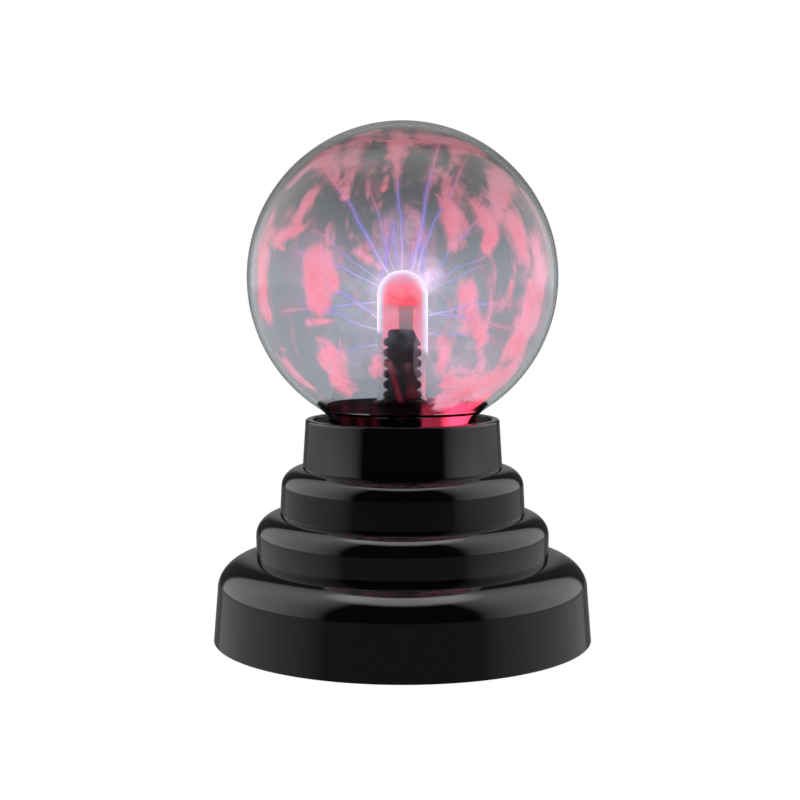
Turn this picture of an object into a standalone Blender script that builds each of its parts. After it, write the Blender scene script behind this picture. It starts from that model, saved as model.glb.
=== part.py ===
"""Desk plasma ball with an 80 mm globe on a stepped base, run from four AAA cells or a plug-in supply.

Frame: metres, +Z up. The origin is on the surface that the feet stand on, on the globe's axis.
The switch is at the back, +Y. Lengths below are written in millimetres and multiplied by MM.
"""

import math

import bmesh
import bpy
from mathutils import Matrix, Vector

MM = 0.001
GAP = 0.3 * MM  # left between two pieces that touch
WALL = 2.0 * MM  # moulded wall of the base

# Globe and electrode
GLOBE_RADIUS = 40.0 * MM
GLOBE_CENTRE_Z = 94.3 * MM
GLASS_WALL = 1.5 * MM
NECK_RADIUS = 18.0 * MM
NECK_FILLET = 8.0 * MM
NECK_BOTTOM_Z = 47.3 * MM
TUBE_RADIUS = 6.25 * MM
TUBE_WALL = 0.9 * MM
TUBE_TOP_Z = 96.0 * MM
FLARE_Z = 61.4 * MM  # the flare's flat top, which closes the neck
FLARE_BEND = 3.2 * MM
PIN_RADIUS = 1.9 * MM
PIN_X = 0.9 * MM  # the pin stands a little off the axis
PIN_BOTTOM_Z = 37.4 * MM
PIN_TOP_Z = 89.5 * MM
PIN_HOLE_RADIUS = PIN_RADIUS + GAP
CAP_RADIUS = 5.0 * MM
CAP_BOTTOM_Z = 87.2 * MM
CAP_TOP_Z = 93.0 * MM
POST_RADIUS = 3.9 * MM
POST_TOP_Z = 81.1 * MM
TOOTH_RADIUS = 1.1 * MM
TOOTH_HALF_WIDTH = 1.1 * MM
TOOTH_PITCH = 2.75 * MM
TOOTH_COUNT = 7

# Stepped base: each tier is (bottom radius, top radius, bottom z, shoulder z, shoulder height)
TIERS = [
    (49.2 * MM, 48.1 * MM, 0.8 * MM, 14.2 * MM, 8.1 * MM),
    (38.0 * MM, 38.1 * MM, 22.3 * MM, 27.8 * MM, 5.6 * MM),
    (31.85 * MM, 31.5 * MM, 33.4 * MM, 40.4 * MM, 5.0 * MM),
]
COLLAR_BOTTOM_RADIUS = 25.95 * MM
COLLAR_TOP_RADIUS = 25.2 * MM
COLLAR_BOTTOM_Z = 45.4 * MM
RIM_Z = 57.9 * MM
RIM_INNER_RADIUS = 23.2 * MM
LEDGE_TOP_Z = 54.9 * MM
LEDGE_INNER_RADIUS = 19.4 * MM

# Holder that carries the neck and the electrode
HOLDER_RADIUS = 28.6 * MM
HOLDER_BOTTOM_Z = 39.0 * MM
HOLDER_FLANGE = 2.0 * MM
CUP_RADIUS = 21.0 * MM
CUP_WALL = 1.4 * MM
CUP_FLOOR_Z = 44.6 * MM
CUP_TOP_Z = 50.0 * MM
HOLDER_SCREW_CIRCLE = 25.6 * MM
HOLDER_SCREW_ANGLES = (90, 210, 330)

# Bottom cover, battery bay and door
COVER_RADIUS = 46.3 * MM
COVER_BOTTOM_Z = 1.2 * MM
COVER_TOP_Z = 3.7 * MM
COVER_SCREW_CIRCLE = 40.8 * MM
COVER_SCREW_ANGLES = (30, 150, 270)
BAY_HALF_X = 26.0 * MM
BAY_HALF_Y = 22.8 * MM
BAY_WALL = 1.5 * MM
BAY_CEILING_Z = 14.1 * MM
RECESS_MARGIN = 2.0 * MM  # ledge around the bay that the door closes against
RECESS_TOP_Z = 2.7 * MM
DOOR_TOP_Z = 2.4 * MM
DOOR_GAP = 0.35 * MM
TAB_X = 15.0 * MM
TAB_WIDTH = 6.0 * MM
CELL_RADIUS = 5.25 * MM
CELL_BODY = 43.5 * MM
CELL_PITCH = 11.1 * MM
CELL_Z = 8.3 * MM
CELL_COUNT = 4
FOOT_RADIUS = 3.6 * MM
FOOT_HEIGHT = 1.6 * MM
FOOT_CIRCLE = 41.3 * MM

# Circuit board, above the bay
BOARD_X = 50.0 * MM
BOARD_Y = 42.0 * MM
BOARD_CENTRE_Y = -2.0 * MM
BOARD_BOTTOM_Z = 18.0 * MM
BOARD_TOP_Z = 19.6 * MM
BOARD_SCREW_X = 21.0 * MM
PART_Z = BOARD_TOP_Z + GAP  # underside of the parts on the board

# Switch and supply socket in the lowest tier's wall
SOCKET_Z = 8.0 * MM
SOCKET_ANGLE = -30  # degrees from the back towards +X
SOCKET_BORE = 1.95 * MM
SWITCH_TRAVEL = 4.0 * MM

LARGE_ROUND = 40
MEDIUM_ROUND = 20
SMALL_ROUND = 8


# ---------------------------------------------------------------- tools


def clear_scene():
    for obj in list(bpy.data.objects):
        bpy.data.objects.remove(obj)


def make_material(name, colour, roughness, metallic=0.0, transmission=0.0):
    material = bpy.data.materials.new(name)
    material.use_nodes = True
    shader = material.node_tree.nodes["Principled BSDF"]
    shader.inputs["Base Color"].default_value = (*colour, 1.0)
    shader.inputs["Roughness"].default_value = roughness
    shader.inputs["Metallic"].default_value = metallic
    shader.inputs["Transmission Weight"].default_value = transmission
    return material


def add_mesh(name, bm, material):
    """Closes a bmesh into a named, smooth-shaded object."""
    bmesh.ops.recalc_face_normals(bm, faces=bm.faces)
    mesh = bpy.data.meshes.new(name)
    bm.to_mesh(mesh)
    bm.free()
    mesh.shade_smooth()
    mesh.set_sharp_from_angle(angle=math.radians(35))
    obj = bpy.data.objects.new(name, mesh)
    obj.data.materials.append(material)
    bpy.context.scene.collection.objects.link(obj)
    return obj


def lathe(name, outline, material, segments):
    """Turns a closed (radius, height) outline round the Z axis."""
    bm = bmesh.new()
    ring = [bm.verts.new((radius, 0, height)) for radius, height in outline]
    edges = [
        bm.edges.new((a, b))
        for a, b in zip(ring, ring[1:] + ring[:1])
        if a.co.x > 0 or b.co.x > 0
    ]
    bmesh.ops.spin(
        bm,
        geom=ring + edges,
        cent=(0, 0, 0),
        axis=(0, 0, 1),
        angle=2 * math.pi,
        steps=segments,
        use_merge=True,
    )
    bmesh.ops.remove_doubles(bm, verts=bm.verts, dist=1e-7)
    return add_mesh(name, bm, material)


def block(name, low, high, material):
    """A box between two corners."""
    bm = bmesh.new()
    bmesh.ops.create_cube(bm, size=1.0)
    low, high = Vector(low), Vector(high)
    for vert in bm.verts:
        vert.co = [low[k] + (vert.co[k] + 0.5) * (high[k] - low[k]) for k in range(3)]
    return add_mesh(name, bm, material)


def rod(name, start, end, radius, material, segments=SMALL_ROUND):
    """A round bar between two points."""
    start, end = Vector(start), Vector(end)
    bm = bmesh.new()
    bmesh.ops.create_cone(
        bm,
        cap_ends=True,
        segments=segments,
        radius1=radius,
        radius2=radius,
        depth=(end - start).length,
    )
    turn = (end - start).to_track_quat("Z", "Y").to_matrix().to_4x4()
    bmesh.ops.transform(
        bm, matrix=Matrix.Translation((start + end) / 2) @ turn, verts=bm.verts
    )
    return add_mesh(name, bm, material)


def wire(name, points, radius, material):
    """A round wire along a smooth curve through the points."""
    smooth = catmull_rom(points, 3)
    curve = bpy.data.curves.new(name, "CURVE")
    curve.dimensions = "3D"
    curve.bevel_depth = radius
    curve.bevel_resolution = 1
    curve.use_fill_caps = True
    spline = curve.splines.new("POLY")
    spline.points.add(len(smooth) - 1)
    for point, place in zip(spline.points, smooth):
        point.co = (*place, 1.0)
    obj = bpy.data.objects.new(name, curve)
    obj.data.materials.append(material)
    bpy.context.scene.collection.objects.link(obj)
    return obj


def catmull_rom(points, steps):
    """Points along the smooth curve that passes through every given point."""
    points = [Vector(p) for p in points]
    ends = [2 * points[0] - points[1], *points, 2 * points[-1] - points[-2]]
    found = []
    for a, b, c, d in zip(ends, ends[1:], ends[2:], ends[3:]):
        for k in range(steps):
            t = k / steps
            found.append(
                0.5
                * (
                    2 * b
                    + (c - a) * t
                    + (2 * a - 5 * b + 4 * c - d) * t**2
                    + (3 * b - a - 3 * c + d) * t**3
                )
            )
    return [*found, points[-1]]


def boolean(target, helper, operation):
    modifier = target.modifiers.new(helper.name, "BOOLEAN")
    modifier.operation = operation
    modifier.object = helper
    helper.hide_render = True
    helper.display_type = "WIRE"


def cut(target, *helpers):
    for helper in helpers:
        boolean(target, helper, "DIFFERENCE")


def join(target, *helpers):
    for helper in helpers:
        boolean(target, helper, "UNION")


def on_circle(radius, degrees, z=0.0):
    angle = math.radians(degrees)
    return Vector((radius * math.cos(angle), radius * math.sin(angle), z))


def arc(centre, radii, start, end, steps):
    """Points of an elliptical arc in (radius, height), angles in degrees."""
    return [
        (
            centre[0] + radii[0] * math.cos(math.radians(start + (end - start) * k / steps)),
            centre[1] + radii[1] * math.sin(math.radians(start + (end - start) * k / steps)),
        )
        for k in range(steps + 1)
    ]


# ---------------------------------------------------------------- globe and electrode


def globe_outline(inset, steps):
    """The glass from the crown to the bottom of the neck, moved inwards by inset."""
    fillet_r = NECK_RADIUS + NECK_FILLET
    drop = math.sqrt((GLOBE_RADIUS + NECK_FILLET) ** 2 - fillet_r**2)
    fillet_z = GLOBE_CENTRE_Z - drop
    meet = math.degrees(math.atan2(drop, fillet_r))
    ball = GLOBE_RADIUS - inset
    sphere = arc((0, GLOBE_CENTRE_Z), (ball, ball), 90, -meet, steps)
    bend = NECK_FILLET + inset
    fillet = arc((fillet_r, fillet_z), (bend, bend), 180 - meet, 180, steps // 3)
    return [(0, sphere[0][1]), *sphere[1:], *fillet[1:], (NECK_RADIUS - inset, NECK_BOTTOM_Z)]


def make_globe(glass):
    outside = globe_outline(0.0, 12)
    inside = globe_outline(GLASS_WALL, 12)
    return lathe("globe_glass", outside + inside[::-1], glass, LARGE_ROUND)


def neck_inside(z):
    """The radius of the glass's inner face at a height on the fillet or the neck."""
    fillet_r = NECK_RADIUS + NECK_FILLET
    bend = NECK_FILLET + GLASS_WALL
    above = z - (GLOBE_CENTRE_Z - math.sqrt((GLOBE_RADIUS + NECK_FILLET) ** 2 - fillet_r**2))
    return fillet_r - math.sqrt(bend**2 - max(above, 0) ** 2)


def tube_outline(inset, steps):
    """The inner glass from its dome down the tube and out along the flare to the neck's wall."""
    radius, bend = TUBE_RADIUS - inset, FLARE_BEND + inset
    dome = arc((0, TUBE_TOP_Z - TUBE_RADIUS), (radius, radius), 90, 0, steps)
    turn = (TUBE_RADIUS + FLARE_BEND, FLARE_Z + FLARE_BEND)
    flare = arc(turn, (bend, bend), 180, 270, steps)
    edge_z = FLARE_Z - inset - 0.2 * MM
    return [(0, dome[0][1]), *dome[1:], *flare, (neck_inside(edge_z) - GAP, edge_z)]


def make_electrode_tube(glass):
    outside = tube_outline(0.0, 5)
    inside = tube_outline(TUBE_WALL, 5)
    tube = lathe("electrode_tube", outside + inside[::-1], glass, MEDIUM_ROUND)
    top, bottom = (11 * MM, 0, FLARE_Z - 0.4 * MM), (11 * MM, 0, 56.5 * MM)
    join(tube, rod("exhaust_tip", top, bottom, 1.5 * MM, glass))
    return tube


def make_neck_plug(foam):
    """Black foam pushed up the neck against the flare's underside."""
    top, bottom = FLARE_Z - TUBE_WALL - 0.5 * MM, 51.5 * MM
    heights = [bottom, 54 * MM, 56 * MM, 58 * MM, top]
    side = [(neck_inside(z) - GAP, z) for z in heights]
    hole = POST_RADIUS + GAP
    plug = lathe("neck_plug", [(hole, bottom), *side, (hole, top)], foam, MEDIUM_ROUND)
    pocket = rod("tip_pocket", (11 * MM, 0, 55.8 * MM), (11 * MM, 0, 62 * MM), 2.1 * MM, foam)
    cut(plug, pocket)


def make_electrode_holder(plastic):
    """One moulding: flange, the cup that takes the neck, and the toothed post up the tube."""
    hollow = CUP_RADIUS - 2.5 * MM
    roof = CUP_FLOOR_Z - WALL
    core = 4.5 * MM
    edge = 0.9 * MM
    outline = [
        (0, HOLDER_BOTTOM_Z),
        (core, HOLDER_BOTTOM_Z),
        (core, roof),
        (hollow, roof),
        (hollow, HOLDER_BOTTOM_Z),
        (HOLDER_RADIUS, HOLDER_BOTTOM_Z),
        (HOLDER_RADIUS, HOLDER_BOTTOM_Z + HOLDER_FLANGE),
        (CUP_RADIUS, HOLDER_BOTTOM_Z + HOLDER_FLANGE),
        (CUP_RADIUS, CUP_TOP_Z),
        (CUP_RADIUS - CUP_WALL, CUP_TOP_Z),
        (CUP_RADIUS - CUP_WALL, CUP_FLOOR_Z),
        (POST_RADIUS, CUP_FLOOR_Z),
        (POST_RADIUS, POST_TOP_Z - edge),
        (POST_RADIUS - edge, POST_TOP_Z),
        (0, POST_TOP_Z),
    ]
    holder = lathe("electrode_holder", outline, plastic, MEDIUM_ROUND)
    highest = POST_TOP_Z - 3.3 * MM
    for side in (-1, 1):
        for index in range(TOOTH_COUNT):
            x, z = side * POST_RADIUS, highest - index * TOOTH_PITCH
            ends = (x, -TOOTH_HALF_WIDTH, z), (x, TOOTH_HALF_WIDTH, z)
            join(holder, rod(f"tooth_{side}_{index}", *ends, TOOTH_RADIUS, plastic))
    slant = block("post_slant", (0, -8 * MM, -2 * MM), (6 * MM, 8 * MM, 12 * MM), plastic)
    slant.location = (5.4 * MM, 0, 75.6 * MM)
    slant.rotation_euler.y = math.radians(-26)
    low, high = (PIN_X, 0, HOLDER_BOTTOM_Z - 1 * MM), (PIN_X, 0, POST_TOP_Z + 1 * MM)
    cut(holder, slant, rod("pin_hole", low, high, PIN_HOLE_RADIUS, plastic, 16))
    for angle in HOLDER_SCREW_ANGLES:
        low = on_circle(HOLDER_SCREW_CIRCLE, angle, HOLDER_BOTTOM_Z - 1 * MM)
        high = on_circle(
            HOLDER_SCREW_CIRCLE, angle, HOLDER_BOTTOM_Z + HOLDER_FLANGE + 1 * MM
        )
        cut(holder, rod(f"holder_hole_{angle}", low, high, 1.5 * MM, plastic))
    return holder


def make_electrode_metal(steel, cap_metal):
    low, high = (PIN_X, 0, PIN_BOTTOM_Z), (PIN_X, 0, PIN_TOP_Z)
    rod("electrode_pin", low, high, PIN_RADIUS, steel, 16)
    cap = lathe(
        "electrode_cap",
        [
            (0, CAP_BOTTOM_Z),
            (CAP_RADIUS, CAP_BOTTOM_Z),
            (CAP_RADIUS, CAP_TOP_Z - 2.6 * MM),
            (CAP_RADIUS - 0.3 * MM, CAP_TOP_Z - 1.4 * MM),
            (CAP_RADIUS - 1.2 * MM, CAP_TOP_Z),
            (0, CAP_TOP_Z),
        ],
        cap_metal,
        MEDIUM_ROUND,
    )
    low, high = (PIN_X, 0, CAP_BOTTOM_Z - 1 * MM), (PIN_X, 0, PIN_TOP_Z + GAP)
    cut(cap, rod("cap_bore", low, high, PIN_HOLE_RADIUS, cap_metal, 16))


def make_neck_rings(gloss, rubber):
    inner, outer = LEDGE_INNER_RADIUS - 0.2 * MM, RIM_INNER_RADIUS - GAP
    low, high = LEDGE_TOP_Z + GAP, RIM_Z - 0.4 * MM
    edge = 0.4 * MM
    lathe(
        "globe_seat_ring",
        [
            (inner, low),
            (outer, low),
            (outer, high - edge),
            (outer - edge, high),
            (inner + edge, high),
            (inner, high - edge),
        ],
        gloss,
        LARGE_ROUND,
    )
    inside, outside = NECK_RADIUS - 2.8 * MM, CUP_RADIUS - CUP_WALL - GAP
    floor, top = CUP_FLOOR_Z + GAP, NECK_BOTTOM_Z - GAP
    lathe(
        "neck_gasket",
        [(inside, floor), (outside, floor), (outside, top), (inside, top)],
        rubber,
        MEDIUM_ROUND,
    )


# ---------------------------------------------------------------- stepped base


def stepped_outline(inset):
    """The base's tiers from the bottom edge to the foot of the collar, moved inwards by inset."""
    points = []
    following = [tier[0] for tier in TIERS[1:]] + [COLLAR_BOTTOM_RADIUS]
    for index, (low_r, high_r, low_z, shoulder_z, rise) in enumerate(TIERS):
        start_z = low_z if index == 0 else low_z - inset
        points.append((low_r - inset, start_z))
        next_r = following[index]
        reach = high_r - next_r - inset
        points += arc((next_r, shoulder_z), (reach, rise - inset), 0, 90, 4)
    points.append((COLLAR_BOTTOM_RADIUS - inset, COLLAR_BOTTOM_Z - inset))
    return points if inset else [p for k, p in enumerate(points) if p not in points[:k]]


def make_housing(gloss):
    edge = 0.5 * MM
    rim = [
        (COLLAR_TOP_RADIUS, RIM_Z - edge),
        (COLLAR_TOP_RADIUS - edge, RIM_Z),
        (RIM_INNER_RADIUS + edge / 2, RIM_Z),
        (RIM_INNER_RADIUS, RIM_Z - edge / 2),
        (RIM_INNER_RADIUS, LEDGE_TOP_Z),
        (LEDGE_INNER_RADIUS, LEDGE_TOP_Z),
        (LEDGE_INNER_RADIUS, LEDGE_TOP_Z - WALL),
        (RIM_INNER_RADIUS, LEDGE_TOP_Z - WALL),
    ]
    outline = stepped_outline(0.0) + rim + stepped_outline(WALL)[::-1]
    housing = lathe("base_housing", outline, gloss, LARGE_ROUND)
    for angle in COVER_SCREW_ANGLES:
        foot = on_circle(COVER_SCREW_CIRCLE, angle, COVER_TOP_Z + GAP)
        top = on_circle(COVER_SCREW_CIRCLE, angle, 19.9 * MM)
        hole_top = on_circle(COVER_SCREW_CIRCLE, angle, 14.5 * MM)
        join(housing, rod(f"cover_boss_{angle}", foot, top, 3.0 * MM, gloss))
        below = foot - Vector((0, 0, 1 * MM))
        cut(housing, rod(f"cover_boss_hole_{angle}", below, hole_top, 1.5 * MM, gloss, 8))
    boss_foot = HOLDER_BOTTOM_Z + HOLDER_FLANGE + GAP
    for angle in HOLDER_SCREW_ANGLES:
        foot = on_circle(HOLDER_SCREW_CIRCLE, angle, boss_foot)
        top = on_circle(HOLDER_SCREW_CIRCLE, angle, 44.6 * MM)
        hole_top = on_circle(HOLDER_SCREW_CIRCLE, angle, 43.6 * MM)
        join(housing, rod(f"holder_boss_{angle}", foot, top, 2.5 * MM, gloss))
        below = foot - Vector((0, 0, 1 * MM))
        cut(housing, rod(f"holder_boss_hole_{angle}", below, hole_top, 1.4 * MM, gloss, 8))
    cut_switch_opening(housing, gloss)
    cut_socket_opening(housing, gloss)
    return housing


def cut_switch_opening(housing, gloss):
    """A shallow flat-bottomed recess, with the slot that the slider runs in."""
    recess_floor, outside = 47.6 * MM, 52 * MM
    cut(
        housing,
        block(
            "switch_recess",
            (-7 * MM, recess_floor, SOCKET_Z - 3.4 * MM),
            (7 * MM, outside, SOCKET_Z + 3.4 * MM),
            gloss,
        ),
        block(
            "switch_slot",
            (-4.3 * MM, 44 * MM, SOCKET_Z - 2.0 * MM),
            (4.3 * MM, outside, SOCKET_Z + 2.0 * MM),
            gloss,
        ),
    )


def socket_place(radius, z=SOCKET_Z):
    """A point on the socket's axis, this far from the globe's axis."""
    return on_circle(radius, 90 + SOCKET_ANGLE, z)


def cut_socket_opening(housing, gloss):
    cut(
        housing,
        rod("socket_hole", socket_place(43 * MM), socket_place(53 * MM), 3.5 * MM, gloss, 16),
    )


# ---------------------------------------------------------------- bottom cover and battery bay


def make_bottom_cover(plastic):
    lip_outer, lip_inner, lip_top = COVER_RADIUS - 0.2 * MM, COVER_RADIUS - 1.7 * MM, 5.7 * MM
    cover = lathe(
        "bottom_cover",
        [
            (0, COVER_BOTTOM_Z),
            (COVER_RADIUS, COVER_BOTTOM_Z),
            (COVER_RADIUS, COVER_TOP_Z),
            (lip_outer, COVER_TOP_Z),
            (lip_outer, lip_top),
            (lip_inner, lip_top),
            (lip_inner, COVER_TOP_Z),
            (0, COVER_TOP_Z),
        ],
        plastic,
        LARGE_ROUND,
    )
    add_bay(cover, plastic)
    add_cover_supports(cover, plastic)
    for name, half, degrees in (("switch", 7 * MM, 0), ("socket", 4.4 * MM, SOCKET_ANGLE)):
        low, high = (-half, 43.6 * MM, COVER_TOP_Z), (half, 48 * MM, 8 * MM)
        gap = block(f"lip_gap_{name}", low, high, plastic)
        gap.rotation_euler.z = math.radians(degrees)
        cut(cover, gap)
    for angle in COVER_SCREW_ANGLES:
        foot = on_circle(COVER_SCREW_CIRCLE, angle, 0)
        cut(
            cover,
            rod(
                f"cover_counterbore_{angle}",
                foot,
                on_circle(COVER_SCREW_CIRCLE, angle, COVER_BOTTOM_Z + 1.3 * MM),
                3.4 * MM,
                plastic,
                16,
            ),
            rod(
                f"cover_screw_hole_{angle}",
                foot,
                on_circle(COVER_SCREW_CIRCLE, angle, COVER_TOP_Z + 1 * MM),
                1.7 * MM,
                plastic,
            ),
        )
    for angle in (45, 135, 225, 315):
        cut(
            cover,
            rod(
                f"foot_pocket_{angle}",
                on_circle(FOOT_CIRCLE, angle, 0),
                on_circle(FOOT_CIRCLE, angle, FOOT_HEIGHT + GAP),
                FOOT_RADIUS + GAP,
                plastic,
                16,
            ),
        )
    return cover


def add_bay(cover, plastic):
    """The box over the cells, the opening below it, the door's recess and the tabs' pockets."""
    outer_x, outer_y = BAY_HALF_X + BAY_WALL, BAY_HALF_Y + BAY_WALL
    roof = BAY_CEILING_Z + BAY_WALL
    join(
        cover,
        block(
            "bay_box",
            (-outer_x, -outer_y, COVER_TOP_Z - 1 * MM),
            (outer_x, outer_y, roof),
            plastic,
        ),
    )
    cut(
        cover,
        block(
            "bay_space",
            (-BAY_HALF_X, -BAY_HALF_Y, 0),
            (BAY_HALF_X, BAY_HALF_Y, BAY_CEILING_Z),
            plastic,
        ),
        block(
            "door_recess",
            (-BAY_HALF_X - RECESS_MARGIN, -BAY_HALF_Y - RECESS_MARGIN, 0),
            (BAY_HALF_X + RECESS_MARGIN, BAY_HALF_Y + RECESS_MARGIN, RECESS_TOP_Z),
            plastic,
        ),
    )
    for side in (-1, 1):
        middle = side * TAB_X
        half = TAB_WIDTH / 2 + 0.5 * MM
        cut(
            cover,
            block(
                f"tab_pocket_{side}",
                (middle - half, -BAY_HALF_Y - 3.9 * MM, 1.9 * MM),
                (middle + half, -BAY_HALF_Y + 0.5 * MM, COVER_TOP_Z + 0.6 * MM),
                plastic,
            ),
        )
    for y in (cell_y(0), cell_y(CELL_COUNT - 1)):
        cut(
            cover,
            block(
                f"terminal_slot_{round(y / MM)}",
                (-BAY_HALF_X + 0.1 * MM, y - 2.3 * MM, BAY_CEILING_Z - 1 * MM),
                (-BAY_HALF_X + 1.2 * MM, y + 2.3 * MM, roof + 1 * MM),
                plastic,
            ),
        )


def add_cover_supports(cover, plastic):
    """Pillars for the board, and rests under the switch and the socket."""
    roof = BAY_CEILING_Z + BAY_WALL
    for side in (-1, 1):
        place = Vector((side * BOARD_SCREW_X, BOARD_CENTRE_Y, 0))
        low = place + Vector((0, 0, roof - 0.5 * MM))
        high = place + Vector((0, 0, BOARD_BOTTOM_Z - GAP))
        join(cover, rod(f"board_pillar_{side}", low, high, 2.4 * MM, plastic))
        cut(
            cover,
            rod(
                f"board_pillar_hole_{side}",
                low + Vector((0, 0, 0.9 * MM)),
                high + Vector((0, 0, 1 * MM)),
                1.3 * MM,
                plastic,
                8,
            ),
        )
    join(
        cover,
        block(
            "switch_rest",
            (-5 * MM, 40.6 * MM, COVER_TOP_Z - 1 * MM),
            (5 * MM, 44.2 * MM, 4.9 * MM),
            plastic,
        ),
    )
    rest = block(
        "socket_rest",
        (-3 * MM, 36.0 * MM, COVER_TOP_Z - 1 * MM),
        (3 * MM, 43.8 * MM, 4.3 * MM),
        plastic,
    )
    rest.rotation_euler.z = math.radians(SOCKET_ANGLE)
    join(cover, rest)


def cell_y(index):
    return (index - (CELL_COUNT - 1) / 2) * CELL_PITCH


def make_door(plastic):
    """A flat door with a bevelled front edge and two tabs that it tilts on, and a latch tongue."""
    half_x = BAY_HALF_X + RECESS_MARGIN - DOOR_GAP
    half_y = BAY_HALF_Y + RECESS_MARGIN - DOOR_GAP
    door = block(
        "battery_door",
        (-half_x, -half_y, COVER_BOTTOM_Z),
        (half_x, half_y, DOOR_TOP_Z),
        plastic,
    )
    bevel = DOOR_TOP_Z - COVER_BOTTOM_Z
    for vert in door.data.vertices:
        if vert.co.y < 0 and vert.co.z < DOOR_TOP_Z - 0.1 * MM:
            vert.co.y += bevel
    for side in (-1, 1):
        low_x, high_x = side * TAB_X - TAB_WIDTH / 2, side * TAB_X + TAB_WIDTH / 2
        join(
            door,
            block(
                f"door_tab_root_{side}",
                (low_x, -half_y + 0.05 * MM, 2.1 * MM),
                (high_x, -half_y + 1.2 * MM, 3.0 * MM),
                plastic,
            ),
            block(
                f"door_tab_{side}",
                (low_x, -half_y - 1.5 * MM, 2.3 * MM),
                (high_x, -half_y + 1.0 * MM, 3.0 * MM),
                plastic,
            ),
        )
    slit, tongue = 0.7 * MM, 5.0 * MM
    for side in (-1, 1):
        cut(
            door,
            block(
                f"latch_slit_{side}",
                (side * tongue - slit / 2, half_y - 7.0 * MM, 0),
                (side * tongue + slit / 2, half_y + 1 * MM, 5 * MM),
                plastic,
            ),
        )
    cut(
        door,
        block(
            "latch_finger_notch",
            (-3.2 * MM, half_y - 1.6 * MM, 0),
            (3.2 * MM, half_y + 1 * MM, COVER_BOTTOM_Z + 0.6 * MM),
            plastic,
        ),
    )
    return door


def make_cells(wrap):
    """Four AAA cells side by side, each turned end for end from its neighbour."""
    for index in range(CELL_COUNT):
        facing = -1 if index % 2 == 0 else 1  # the end that the positive nub points to
        nub_end = BAY_HALF_X - 1.0 * MM
        nub, nub_radius, crimp = 1.0 * MM, 1.9 * MM, 0.7 * MM
        start = nub_end - nub - CELL_BODY
        cell = lathe(
            f"battery_cell_{index + 1}",
            [
                (0, start),
                (CELL_RADIUS - crimp, start),
                (CELL_RADIUS, start + crimp),
                (CELL_RADIUS, nub_end - nub - crimp),
                (CELL_RADIUS - crimp, nub_end - nub),
                (nub_radius, nub_end - nub),
                (nub_radius, nub_end),
                (0, nub_end),
            ],
            wrap,
            16,
        )
        cell.location = (0, cell_y(index), CELL_Z)
        cell.rotation_euler = (0, facing * math.pi / 2, 0)


def make_contacts(spring_steel):
    """Plates on the bay's end walls that join the cells in series, with a coil spring at each negative end."""
    thickness = 0.4 * MM
    outer = BAY_HALF_X - GAP
    reach = 4.2 * MM  # half a plate's width on one cell
    low_z, high_z = 4.2 * MM, 12.6 * MM
    links = [("link_plate_left", -1, 1, 2), ("link_plate_right_1", 1, 0, 1), ("link_plate_right_2", 1, 2, 3)]
    for name, side, first, last in links:
        block(
            name,
            (min(side * outer, side * (outer - thickness)), cell_y(first) - reach, low_z),
            (max(side * outer, side * (outer - thickness)), cell_y(last) + reach, high_z),
            spring_steel,
        )
    for name, index in (("terminal_plate_positive", 0), ("terminal_plate_negative", 3)):
        plate = block(
            name,
            (-outer, cell_y(index) - reach, low_z),
            (-outer + thickness, cell_y(index) + reach, high_z),
            spring_steel,
        )
        join(
            plate,
            block(
                f"{name}_tab",
                (-outer, cell_y(index) - 1.6 * MM, high_z - 0.5 * MM),
                (-outer + thickness, cell_y(index) + 1.6 * MM, 17.0 * MM),
                spring_steel,
            ),
        )
    for index in range(CELL_COUNT):
        make_spring(index, outer - thickness, spring_steel)


def make_spring(index, plate_face, steel):
    """A tapered coil from the plate to the cell's flat end."""
    side = 1 if index % 2 == 0 else -1
    wire_radius, turns, per_turn = 0.35 * MM, 3.0, 8
    base = plate_face - GAP - wire_radius
    tip = BAY_HALF_X - 1.0 * MM - 1.0 * MM - CELL_BODY  # cell's flat end, on the other side
    tip = -tip + GAP + wire_radius
    steps = int(turns * per_turn)
    points = []
    for k in range(steps + 1):
        share = k / steps
        angle = 2 * math.pi * turns * share
        radius = (3.4 - 1.4 * share) * MM
        x = base + (tip - base) * share
        points.append(
            (side * x, cell_y(index) + radius * math.cos(angle), CELL_Z + radius * math.sin(angle))
        )
    curve = bpy.data.curves.new(f"battery_spring_{index + 1}", "CURVE")
    curve.dimensions = "3D"
    curve.bevel_depth = wire_radius
    curve.bevel_resolution = 1
    curve.use_fill_caps = True
    spline = curve.splines.new("POLY")
    spline.points.add(len(points) - 1)
    for point, place in zip(spline.points, points):
        point.co = (*place, 1.0)
    obj = bpy.data.objects.new(f"battery_spring_{index + 1}", curve)
    obj.data.materials.append(steel)
    bpy.context.scene.collection.objects.link(obj)


def make_feet(rubber):
    names = {45: "foot_back_right", 135: "foot_back_left", 225: "foot_front_left", 315: "foot_front_right"}
    for angle, name in names.items():
        rod(
            name,
            on_circle(FOOT_CIRCLE, angle, 0),
            on_circle(FOOT_CIRCLE, angle, FOOT_HEIGHT),
            FOOT_RADIUS,
            rubber,
            20,
        )


# ---------------------------------------------------------------- fasteners


def make_screw(name, place, head_radius, head_height, shank_radius, length, steel):
    """A pan-head screw that points up, with its head's outer face at the place's height."""
    slot_depth, slot_radius = head_height * 0.45, head_radius * 0.35
    screw = lathe(
        name,
        [
            (0, slot_depth),
            (slot_radius, slot_depth),
            (slot_radius, 0),
            (head_radius * 0.8, 0),
            (head_radius, head_height * 0.5),
            (head_radius, head_height),
            (shank_radius, head_height),
            (shank_radius, length - shank_radius),
            (0.2 * shank_radius, length),
            (0, length),
        ],
        steel,
        SMALL_ROUND,
    )
    screw.location = place
    return screw


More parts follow.
